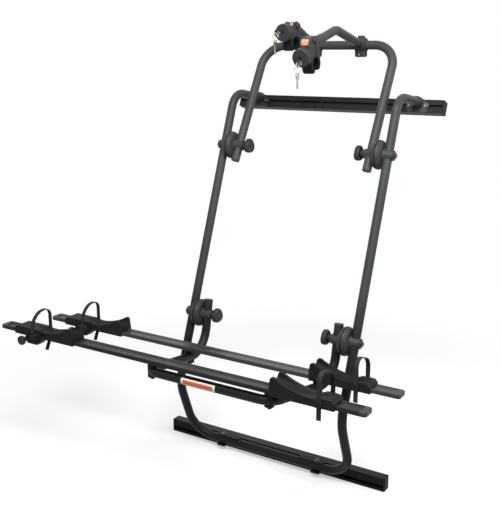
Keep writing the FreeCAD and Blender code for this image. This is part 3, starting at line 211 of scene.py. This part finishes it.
# finishes: one principled shader each, with shared grain, edge wear and highlight, and painted
# shade groups
finishes = {
    "satinBlackPaint": {
        "nodes": ["main_frame", "upper_hoop", "platform_frame", "long_arm_tube", "short_arm_tube"],
        "colour": (0.030, 0.034, 0.033), "shade": 0.2,
        "rough": 0.44, "roughSwing": 0.07, "sheen": 0.14,
        "grainScale": 900, "grainDepth": 0.00006, "soften": 0.0006, "wearAndHighlight": 0.25, "metal": 0.0,
        # painted shade: lower legs and cross tube darker towards the bottom
        "paintedShadeTone": 0.16, "paintedShadeLow": 0.34, "paintedShadeHigh": 0.62,
    },
    # darker copy of the one rail paint: painted shade on the front rail
    "railPaintPaintedShade": {
        "nodes": ["front_rail"],
        "colour": (0.011, 0.012, 0.0115), "shade": 0.2,
        "rough": 0.4, "roughSwing": 0.08, "sheen": 0.12,
        "grainScale": 1600, "grainDepth": 0.00003, "soften": 0.0008, "wearAndHighlight": 0.35, "metal": 0.0,
    },
    # lighter copy of the one rail paint with more sheen: painted light on the rear rail and its end
    # caps
    "railPaintPaintedLight": {
        "nodes": ["rear_rail", "rail_end_caps"],
        "colour": (0.022, 0.0245, 0.0235), "shade": 0.2,
        "rough": 0.4, "roughSwing": 0.08, "sheen": 0.24,
        "grainScale": 1600, "grainDepth": 0.00003, "soften": 0.0008, "wearAndHighlight": 0.35, "metal": 0.0,
    },
    "wallRailPaint": {
        "nodes": ["bottom_rail", "top_rail"],
        "colour": (0.0085, 0.0095, 0.009), "shade": 0.25,
        "rough": 0.42, "roughSwing": 0.08, "sheen": 0.1,
        "grainScale": 1600, "grainDepth": 0.00003, "soften": 0.0005, "wearAndHighlight": 0.35, "metal": 0.0,
        # painted shade: the bottom rail darker than the top rail
        "paintedShadeTone": 0.2, "paintedShadeLow": 0.34, "paintedShadeHigh": 0.62,
    },
    "shellNylon": {
        "nodes": ["outer_shells", "hoop_shells", "platform_shells", "top_brackets",
                  "long_arm_clamp", "short_arm_clamp", "long_arm_bush", "short_arm_bush",
                  "hoop_plugs", "platform_plugs"],
        "colour": (0.027, 0.030, 0.029), "shade": 0.25,
        "rough": 0.5, "roughSwing": 0.1, "sheen": 0.16,
        "grainScale": 2400, "grainDepth": 0.00008, "soften": 0.0014, "wearAndHighlight": 0.2, "metal": 0.0,
    },
    # shaded copy of the shell nylon: painted shade darkens the lower part of the long arm's head
    # and jaw
    "longHeadNylonPaintedShade": {
        "nodes": ["long_arm_head", "long_arm_jaw"],
        "colour": (0.027, 0.030, 0.029), "shade": 0.25,
        "rough": 0.52, "roughSwing": 0.1, "sheen": 0.12,
        "grainScale": 2400, "grainDepth": 0.00008, "soften": 0.0014, "wearAndHighlight": 0.12, "metal": 0.0,
        "paintedShadeTone": 0.12, "paintedShadeLow": 1.230, "paintedShadeHigh": 1.275,
    },
    # shaded copy of the shell nylon: painted shade darkens the lower part of the short arm's head
    # and jaw
    "shortHeadNylonPaintedShade": {
        "nodes": ["short_arm_head", "short_arm_jaw"],
        "colour": (0.027, 0.030, 0.029), "shade": 0.25,
        "rough": 0.52, "roughSwing": 0.1, "sheen": 0.12,
        "grainScale": 2400, "grainDepth": 0.00008, "soften": 0.0014, "wearAndHighlight": 0.12, "metal": 0.0,
        "paintedShadeTone": 0.12, "paintedShadeLow": 1.290, "paintedShadeHigh": 1.325,
    },
    "trayNylon": {
        "nodes": ["wheel_holder_front_left", "wheel_holder_front_right", "wheel_holder_rear_left",
                  "wheel_holder_rear_right", "rail_saddles", "saddle_clamps", "wall_rail_caps",
                  "bottom_clips"],
        "colour": (0.0085, 0.0095, 0.0085), "shade": 0.25,
        "rough": 0.56, "roughSwing": 0.1, "sheen": 0.09,
        "grainScale": 2400, "grainDepth": 0.00008, "soften": 0.0012, "wearAndHighlight": 0.25, "metal": 0.0,
    },
    "knobNylon": {
        "nodes": ["knob_lower_left", "knob_lower_right", "knob_upper_left", "knob_upper_right",
                  "holder_knob_front", "holder_knob_rear", "long_arm_knob", "short_arm_knob"],
        "colour": (0.018, 0.020, 0.019), "shade": 0.22,
        "rough": 0.46, "roughSwing": 0.1, "sheen": 0.16,
        "grainScale": 2800, "grainDepth": 0.00006, "soften": 0.0015, "wearAndHighlight": 0.25, "metal": 0.0,
    },
    "strapRubber": {
        "nodes": ["wheel_strap_front_left", "wheel_strap_front_right", "wheel_strap_rear_left",
                  "wheel_strap_rear_right", "wall_rail_seals"],
        "colour": (0.020, 0.022, 0.020), "shade": 0.3,
        "rough": 0.6, "roughSwing": 0.1, "sheen": 0.08,
        "grainScale": 2000, "grainDepth": 0.00006, "soften": 0.0008, "wearAndHighlight": 0.1, "metal": 0.0,
    },
    "padRubber": {
        "nodes": ["long_arm_head_pad", "short_arm_head_pad", "long_arm_jaw_pad",
                  "short_arm_jaw_pad"],
        "colour": (0.005, 0.005, 0.005), "shade": 0.3,
        "rough": 0.7, "roughSwing": 0.1, "sheen": 0.04,
        "grainScale": 2000, "grainDepth": 0.00006, "soften": 0.0008, "wearAndHighlight": 0.0, "metal": 0.0,
    },
    # near-black for the painted shade in the knuckles' seams
    "seamShadeBlack": {
        "nodes": [],
        "colour": (0.006, 0.006, 0.006), "shade": 0.2,
        "rough": 0.7, "roughSwing": 0.05, "sheen": 0.05,
        "grainScale": 2000, "grainDepth": 0.00002, "soften": 0.0002, "wearAndHighlight": 0.0, "metal": 0.0,
    },
    "blackZinc": {
        "nodes": ["knuckle_bolts", "mounting_bolts", "saddle_bolts", "long_arm_bolts",
                  "short_arm_bolts"],
        "colour": (0.040, 0.042, 0.041), "shade": 0.3,
        "rough": 0.36, "roughSwing": 0.12, "sheen": 0.5,
        "grainScale": 1400, "grainDepth": 0.00004, "soften": 0.0005, "wearAndHighlight": 0.4, "metal": 0.4,
    },
    "brightChrome": {
        "nodes": ["long_arm_lock", "short_arm_lock", "long_arm_key", "short_arm_key",
                  "long_arm_spare_key", "short_arm_spare_key"],
        "colour": (0.45, 0.46, 0.42), "shade": 0.15,
        "rough": 0.24, "roughSwing": 0.1, "sheen": 0.5,
        "grainScale": 1200, "grainDepth": 0.00001, "soften": 0.0003, "wearAndHighlight": 0.0, "metal": 1.0,
    },
    "labelOrange": {
        "nodes": [],
        "colour": (0.55, 0.085, 0.030), "shade": 0.06,
        "rough": 0.4, "roughSwing": 0.08, "sheen": 0.3,
        "grainScale": 1800, "grainDepth": 0.00001, "soften": 0.0002, "wearAndHighlight": 0.15, "metal": 0.0,
    },
    "labelCoral": {
        "nodes": [],
        "colour": (0.68, 0.20, 0.125), "shade": 0.06,
        "rough": 0.4, "roughSwing": 0.08, "sheen": 0.3,
        "grainScale": 1800, "grainDepth": 0.00001, "soften": 0.0002, "wearAndHighlight": 0.15, "metal": 0.0,
    },
    "labelWhite": {
        "nodes": [],
        "colour": (0.62, 0.61, 0.58), "shade": 0.06,
        "rough": 0.4, "roughSwing": 0.08, "sheen": 0.3,
        "grainScale": 1800, "grainDepth": 0.00001, "soften": 0.0002, "wearAndHighlight": 0.1, "metal": 0.0,
    },
}


# the shared effects: grain and patches, worn edges with painted edge highlights, painted shade that
# darkens the lower parts
effects = {
    "fineDetail": 2, "patchScale": 9, "patchDetail": 5, "patchRoughness": 0.6,
    "edgeSamples": 4, "edgeStart": 0.995, "edgeFull": 0.86, "chipScale": 160, "chipDetail": 4,
    "darkPatch": 0.3, "lightPatch": 0.7, "paleEdgeGain": 2.6, "paleEdgeLift": 0.03,
}


def makeGroup(name, takes, gives):
    group = bpy.data.node_groups.new(name, "ShaderNodeTree")
    for way, sockets in (("INPUT", takes), ("OUTPUT", gives)):
        for label, kind in sockets.items():
            group.interface.new_socket(label, in_out=way, socket_type="NodeSocket" + kind)
    return group, addNode(group, "NodeGroupInput"), addNode(group, "NodeGroupOutput")


def surfaceGrain():
    group, start, end = makeGroup("surfaceGrain", {"Vector": "Vector", "Scale": "Float"},
                                  {"Height": "Float", "Patches": "Float"})
    fine = addNode(group, "ShaderNodeTexNoise", {"Detail": effects["fineDetail"]})
    patches = addNode(group, "ShaderNodeTexNoise",
                      {"Scale": effects["patchScale"], "Detail": effects["patchDetail"],
                       "Roughness": effects["patchRoughness"]})
    connect(group, (start.outputs["Vector"], fine.inputs["Vector"]),
            (start.outputs["Scale"], fine.inputs["Scale"]),
            (start.outputs["Vector"], patches.inputs["Vector"]),
            (fine.outputs["Fac"], end.inputs["Height"]),
            (patches.outputs["Fac"], end.inputs["Patches"]))
    return group


# worn edges made lighter: partly wear, partly a painted highlight along the edges; the Bevel normal
# also rounds the edges
def edgeWearAndHighlight():
    group, start, end = makeGroup("edgeWearAndHighlight",
                                  {"Vector": "Vector", "Width": "Float", "Amount": "Float"},
                                  {"Mask": "Float", "Normal": "Vector"})
    soft = addNode(group, "ShaderNodeBevel", samples=effects["edgeSamples"])
    flat = addNode(group, "ShaderNodeNewGeometry")
    meet = addNode(group, "ShaderNodeVectorMath", operation="DOT_PRODUCT")
    edge = addNode(group, "ShaderNodeMapRange",
                   {"From Min": effects["edgeStart"], "From Max": effects["edgeFull"]})
    chips = addNode(group, "ShaderNodeTexNoise",
                    {"Scale": effects["chipScale"], "Detail": effects["chipDetail"]})
    wornAndLit = addNode(group, "ShaderNodeMath", operation="MULTIPLY")
    amount = addNode(group, "ShaderNodeMath", operation="MULTIPLY")
    connect(group, (start.outputs["Width"], soft.inputs["Radius"]),
            (soft.outputs["Normal"], meet.inputs[0]),
            (flat.outputs["Normal"], meet.inputs[1]),
            (meet.outputs["Value"], edge.inputs["Value"]),
            (start.outputs["Vector"], chips.inputs["Vector"]),
            (edge.outputs[0], wornAndLit.inputs[0]),
            (chips.outputs["Fac"], wornAndLit.inputs[1]),
            (wornAndLit.outputs[0], amount.inputs[0]),
            (start.outputs["Amount"], amount.inputs[1]),
            (amount.outputs[0], end.inputs["Mask"]),
            (soft.outputs["Normal"], end.inputs["Normal"]))
    return group


def paintedShadeFade():
    # painted shade mask: 0 below the low height, 1 above the high one
    group, start, end = makeGroup("paintedShadeFade", {"Vector": "Vector", "Low": "Float", "High": "Float"},
                                  {"Mask": "Float"})
    split = addNode(group, "ShaderNodeSeparateXYZ")
    rise = addNode(group, "ShaderNodeMapRange", interpolation_type="SMOOTHSTEP")
    connect(group, (start.outputs["Vector"], split.inputs["Vector"]),
            (split.outputs["Z"], rise.inputs["Value"]),
            (start.outputs["Low"], rise.inputs["From Min"]),
            (start.outputs["High"], rise.inputs["From Max"]),
            (rise.outputs[0], end.inputs["Mask"]))
    return group


grainGroup = surfaceGrain()
wearAndHighlightGroup = edgeWearAndHighlight()
paintedShadeGroup = paintedShadeFade()


def addEffect(tree, group, coords, values):
    effect = addNode(tree, "ShaderNodeGroup", values, node_tree=group)
    connect(tree, (coords.outputs["Object"], effect.inputs["Vector"]))
    return effect


def makeFinish(name, look):
    material = bpy.data.materials.new(name)
    material.use_nodes = True
    tree = material.node_tree
    shader = tree.nodes["Principled BSDF"]
    coords = addNode(tree, "ShaderNodeTexCoord")
    grain = addEffect(tree, grainGroup, coords, {"Scale": look["grainScale"]})
    wearAndHighlight = addEffect(tree, wearAndHighlightGroup, coords, {"Width": look["soften"], "Amount": look["wearAndHighlight"]})
    tone = addNode(tree, "ShaderNodeValToRGB")
    shades = ((effects["darkPatch"], 1 - look["shade"]), (effects["lightPatch"], 1 + look["shade"]))
    for stop, (position, level) in zip(tone.color_ramp.elements, shades):
        stop.position = position
        stop.color = (*[part * level for part in look["colour"]], 1)
    # painted edge highlight and wear: the edge mask mixes in a paler copy of the colour
    pale = [min(1, part * effects["paleEdgeGain"] + effects["paleEdgeLift"]) for part in look["colour"]]
    rubbedAndLit = addNode(tree, "ShaderNodeMix", {"B": (*pale, 1)}, data_type="RGBA")
    connect(tree, (grain.outputs["Patches"], tone.inputs["Fac"]),
            (wearAndHighlight.outputs["Mask"], rubbedAndLit.inputs["Factor"]),
            (tone.outputs["Color"], rubbedAndLit.inputs["A"]))
    colour = rubbedAndLit.outputs["Result"]
    # painted shade: the colour is scaled down on the lower parts, standing in for dimmer light low
    # down
    if "paintedShadeTone" in look:
        fade = addEffect(tree, paintedShadeGroup, coords,
                         {"Low": look["paintedShadeLow"], "High": look["paintedShadeHigh"]})
        level = addNode(tree, "ShaderNodeMapRange", {"To Min": look["paintedShadeTone"]})
        paintedShadeColour = addNode(tree, "ShaderNodeVectorMath", operation="SCALE")
        connect(tree, (fade.outputs["Mask"], level.inputs["Value"]),
                (colour, paintedShadeColour.inputs[0]),
                (level.outputs[0], paintedShadeColour.inputs["Scale"]))
        colour = paintedShadeColour.outputs[0]
    gloss = addNode(tree, "ShaderNodeMapRange", {"To Min": look["rough"] - look["roughSwing"],
                                                 "To Max": look["rough"] + look["roughSwing"]})
    bump = addNode(tree, "ShaderNodeBump", {"Distance": look["grainDepth"], "Strength": 1})
    connect(tree, (colour, shader.inputs["Base Color"]),
            (grain.outputs["Patches"], gloss.inputs["Value"]),
            (gloss.outputs[0], shader.inputs["Roughness"]),
            (grain.outputs["Height"], bump.inputs["Height"]),
            (wearAndHighlight.outputs["Normal"], bump.inputs["Normal"]),
            (bump.outputs["Normal"], shader.inputs["Normal"]))
    shader.inputs["Metallic"].default_value = look["metal"]
    shader.inputs["Specular IOR Level"].default_value = look["sheen"]
    return material


made = {}
for name, look in finishes.items():
    made[name] = makeFinish(name, look)
    for node in look["nodes"]:
        for slot in nodes[node].material_slots:
            slot.material = made[name]
print("finishes made:", len(finishes))

# plain stickers, laid on the surface that carries them
stickers = {
    "long_head_label": {"node": "long_arm_jaw", "body": "long_jaw", "finish": "labelCoral",
                        "centre": (0.1160, -0.0585, 1.2925), "facing": (0, -0.97, 0.25),
                        "wide": 0.0215, "high": 0.0165, "lift": 0.0001},
    "short_head_label": {"node": "short_arm_jaw", "body": "short_jaw", "finish": "labelCoral",
                         "centre": (-0.0350, 0.1342, 1.3495), "facing": (0.3, -0.75, 0.6),
                         "wide": 0.0075, "high": 0.0085, "lift": 0.0001},
    "cross_tube_plate": {"node": "platform_frame", "body": "platform", "finish": "labelWhite",
                         "centre": (-0.0215, -0.4040, 0.3625), "facing": (0, -1, 0.05),
                         "wide": 0.116, "high": 0.0185, "lift": 0.0001},
    "cross_tube_stripe": {"node": "platform_frame", "body": "platform", "finish": "labelOrange",
                          "centre": (-0.0215, -0.4040, 0.3625), "facing": (0, -1, 0.05),
                          "wide": 0.102, "high": 0.0105, "lift": 0.0004},
}
stickerSheet = {"film": 0.0003, "cellsWide": 16, "cellsHigh": 8, "cornerPart": 9, "cornerSteps": 3}
searchReach = 0.02  # how far above a surface the search for it starts
graph = bpy.context.evaluated_depsgraph_get()


def onSurface(node, point, facing):
    start = Vector(point) + Vector(facing).normalized() * searchReach
    found, place, normal, _ = nodes[node].ray_cast(start, -Vector(facing), depsgraph=graph)
    return (place, normal) if found else (Vector(point), Vector(facing).normalized())


def layFlat(centre, facing):
    # turns a shape drawn in XY so that its Z looks along facing and its Y stays upright
    out = Vector(facing).normalized()
    across = Vector((0, 0, 1)).cross(out).normalized()
    turn = Matrix((across, out.cross(across), out)).transposed().to_4x4()
    return Matrix.Translation(centre) @ turn


def makeSticker(name, sticker):
    mesh = bmesh.new()
    bmesh.ops.create_grid(mesh, x_segments=stickerSheet["cellsWide"],
                          y_segments=stickerSheet["cellsHigh"], size=0.5)
    corners = [vert for vert in mesh.verts if len(vert.link_edges) == 2]
    bmesh.ops.scale(mesh, verts=mesh.verts, vec=(sticker["wide"], sticker["high"], 1))
    bmesh.ops.bevel(mesh, geom=corners, affect="VERTICES",
                    offset=sticker["high"] / stickerSheet["cornerPart"],
                    segments=stickerSheet["cornerSteps"], profile=0.5, material=-1)
    bmesh.ops.transform(mesh, verts=mesh.verts,
                        matrix=layFlat(sticker["centre"], sticker["facing"]))
    for vert in mesh.verts:
        place, normal = onSurface(sticker["node"], vert.co, sticker["facing"])
        vert.co = place + normal * sticker["lift"]
    bmesh.ops.recalc_face_normals(mesh, faces=mesh.faces)
    bmesh.ops.solidify(mesh, geom=mesh.faces[:], thickness=-stickerSheet["film"])
    finishedPiece(mesh, name, made[sticker["finish"]], sticker["body"])


for name, sticker in stickers.items():
    makeSticker(name, sticker)
print("stickers laid:", len(stickers))

# bright screw ends in the bolt heads of the top brackets and in the hoop clamps
screwEnds = {
    "bracket_screw_ends": {"node": "mounting_bolts", "body": "frame", "facing": (0, -0.94, 0.35),
                           "places": [(-0.265, 0.366, 1.1022), (-0.319, 0.366, 1.1022),
                                      (0.265, 0.366, 1.1022), (0.319, 0.366, 1.1022)]},
    "long_clamp_screw_end": {"node": "long_arm_bolts", "body": "long_arm", "facing": (0, -1, 0),
                             "places": [(0.114, 0.307, 1.2591)]},
    "short_clamp_screw_end": {"node": "short_arm_bolts", "body": "short_arm", "facing": (0, -1, 0),
                              "places": [(-0.047, 0.307, 1.2591)]},
}
screwEnd = {"radius": 0.0030, "taper": 0.8, "rise": 0.0012, "rimPart": 0.35, "rimSteps": 3,
            "sides": 20}


def makeScrewEnds(name, ends):
    mesh = bmesh.new()
    for place in ends["places"]:
        seat, _ = onSurface(ends["node"], place, ends["facing"])
        tip = bmesh.ops.create_cone(mesh, cap_ends=True, segments=screwEnd["sides"],
                                    radius1=screwEnd["radius"],
                                    radius2=screwEnd["radius"] * screwEnd["taper"],
                                    depth=screwEnd["rise"] * 2)["verts"]
        bmesh.ops.transform(mesh, verts=tip, matrix=layFlat(seat, ends["facing"]))
    rims = [edge for edge in mesh.edges
            if any(len(face.verts) == screwEnd["sides"] for face in edge.link_faces)]
    bmesh.ops.bevel(mesh, geom=rims, affect="EDGES",
                    offset=screwEnd["rise"] * screwEnd["rimPart"],
                    segments=screwEnd["rimSteps"], profile=0.5, material=-1)
    finishedPiece(mesh, name, made["brightChrome"], ends["body"])


for name, ends in screwEnds.items():
    makeScrewEnds(name, ends)
print("screw ends set:", len(screwEnds))

# hand knobs of the knuckles: soft three-lobed heads, hollow towards the neck
knobs = {
    "radius": 0.0245, "sides": 72, "lobes": 3, "lobeDepth": 0.055, "length": 0.0165,
    "round": 0.0048, "roundSteps": 6, "dish": 0.0012, "dishInset": 0.9,
    "hollowRim": 0.0008, "hollowDeep": 0.0085, "hollowTaper": 0.9,
    "neckRadius": 0.0105, "neckFoot": 1.06, "neckTip": 0.92, "neckLength": 0.011, "neckSides": 40,
    "ribs": 6, "ribLength": 0.78, "ribThick": 0.0022, "ribOut": 0.40, "ribDeeper": 0.001,
    "creaseAngle": 38,
    "places": {
        "lower_left": {"start": (-0.2157, -0.0470, 0.4375), "towards": 1},
        "lower_right": {"start": (0.2157, -0.0470, 0.4375), "towards": -1},
        "upper_left": {"start": (-0.2157, 0.1481, 0.9677), "towards": 1},
        "upper_right": {"start": (0.2157, 0.1481, 0.9677), "towards": -1},
    },
}


def extrudeFace(mesh, face, rise):
    grown = bmesh.ops.extrude_face_region(mesh, geom=[face])["geom"]
    verts = [part for part in grown if isinstance(part, bmesh.types.BMVert)]
    bmesh.ops.translate(mesh, verts=verts, vec=(0, 0, rise))
    return next(part for part in grown if isinstance(part, bmesh.types.BMFace))


def endFaces(mesh):
    # the back and the front of a knob head, its only faces with that many corners
    ends = [face for face in mesh.faces if len(face.verts) > knobs["sides"] / 2]
    ends.sort(key=lambda face: face.calc_center_median().z)
    return ends[0], ends[-1]


def knobHead():
    # drawn with the neck side at zero and the hand side at full length
    mesh = bmesh.new()
    bmesh.ops.create_circle(mesh, cap_ends=True, segments=knobs["sides"], radius=knobs["radius"])
    for vert in mesh.verts:
        angle = atan2(vert.co.y, vert.co.x) - pi / 2
        vert.co.xy *= 1 - knobs["lobeDepth"] * (1 - cos(knobs["lobes"] * angle))
    extrudeFace(mesh, mesh.faces[:][0], knobs["length"])
    bmesh.ops.recalc_face_normals(mesh, faces=mesh.faces)
    rims = [edge for face in endFaces(mesh) for edge in face.edges]
    bmesh.ops.bevel(mesh, geom=rims, affect="EDGES", offset=knobs["round"],
                    segments=knobs["roundSteps"], profile=0.5, material=-1)
    back, front = endFaces(mesh)
    bmesh.ops.inset_region(mesh, faces=[front], thickness=knobs["round"] * knobs["dishInset"],
                           use_even_offset=True)
    bmesh.ops.translate(mesh, verts=front.verts, vec=(0, 0, -knobs["dish"]))
    bmesh.ops.inset_region(mesh, faces=[back], thickness=knobs["hollowRim"], use_even_offset=True)
    floor = extrudeFace(mesh, back, knobs["hollowDeep"])
    bmesh.ops.scale(mesh, verts=floor.verts, vec=(knobs["hollowTaper"], knobs["hollowTaper"], 1))
    bmesh.ops.delete(mesh, geom=[back], context="FACES_ONLY")  # opens the hollow
    return mesh


def addNeck(mesh):
    length = knobs["neckLength"] + knobs["hollowDeep"]
    neck = bmesh.ops.create_cone(mesh, cap_ends=True, segments=knobs["neckSides"], depth=length,
                                 radius1=knobs["neckRadius"] * knobs["neckFoot"],
                                 radius2=knobs["neckRadius"] * knobs["neckTip"])["verts"]
    bmesh.ops.translate(mesh, verts=neck, vec=(0, 0, length / 2))


def addRibs(mesh):
    for number in range(knobs["ribs"]):
        rib = bmesh.ops.create_cube(mesh, size=1)["verts"]
        bmesh.ops.scale(mesh, verts=rib, vec=(knobs["radius"] * knobs["ribLength"],
                                              knobs["ribThick"], knobs["hollowDeep"]))
        height = knobs["neckLength"] + knobs["hollowDeep"] * 0.5 + knobs["ribDeeper"]
        bmesh.ops.translate(mesh, verts=rib, vec=(knobs["radius"] * knobs["ribOut"], 0, height))
        turn = Matrix.Rotation(2 * pi * number / knobs["ribs"], 3, "Z")
        bmesh.ops.rotate(mesh, verts=rib, matrix=turn)


def makeKnob(label, spot):
    mesh = knobHead()
    bmesh.ops.translate(mesh, verts=mesh.verts, vec=(0, 0, knobs["neckLength"]))
    addNeck(mesh)
    addRibs(mesh)
    # the knob's length goes along X towards the middle; this mirrors it, so its faces are turned
    side = spot["towards"]
    turn = Matrix(((0, 0, side), (-side, 0, 0), (0, 1, 0))).to_4x4()
    bmesh.ops.transform(mesh, verts=mesh.verts, matrix=Matrix.Translation(spot["start"]) @ turn)
    bmesh.ops.reverse_faces(mesh, faces=mesh.faces)
    for face in mesh.faces:
        face.smooth = True
    knob = finishedPiece(mesh, "knob_head_" + label, made["knobNylon"], label + "_knob")
    knob.data.set_sharp_from_angle(angle=radians(knobs["creaseAngle"]))
    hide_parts("knob_" + label)


for label, spot in knobs["places"].items():
    makeKnob(label, spot)
print("knobs made:", len(knobs["places"]))

# dark rings of painted shade round the seam between the two halves of each knuckle, where the
# seam's groove lies in shade
seamShadeRings = {
    "seamX": 0.2635, "radius": 0.0445, "rise": 0.00035, "halfWidth": 0.0013,
    "wireSides": 12, "steps": 96,
    "pivots": [(-0.0470, 0.4375), (0.1481, 0.9677)],
}


def addSeamShadeRing(mesh, x, pivotY, pivotZ):
    wire = bmesh.ops.create_circle(mesh, cap_ends=False, segments=seamShadeRings["wireSides"],
                                   radius=1)["verts"]
    bmesh.ops.scale(mesh, verts=wire, vec=(seamShadeRings["halfWidth"], seamShadeRings["rise"], 1))
    bmesh.ops.translate(mesh, verts=wire, vec=(x, seamShadeRings["radius"] + pivotY, pivotZ))
    edges = [edge for edge in mesh.edges if edge.verts[0] in wire and edge.verts[1] in wire]
    bmesh.ops.spin(mesh, geom=wire + edges, cent=(0, pivotY, pivotZ), axis=(1, 0, 0),
                   angle=2 * pi, steps=seamShadeRings["steps"], use_merge=True)


def makeSeamShadeRings():
    mesh = bmesh.new()
    for pivotY, pivotZ in seamShadeRings["pivots"]:
        for side in (-1, 1):
            addSeamShadeRing(mesh, side * seamShadeRings["seamX"], pivotY, pivotZ)
    bmesh.ops.recalc_face_normals(mesh, faces=mesh.faces)
    for face in mesh.faces:
        face.smooth = True
    finishedPiece(mesh, "knuckle_seam_shade_rings", made["seamShadeBlack"], "frame")


makeSeamShadeRings()
print("seam rings set:", 2 * len(seamShadeRings["pivots"]))
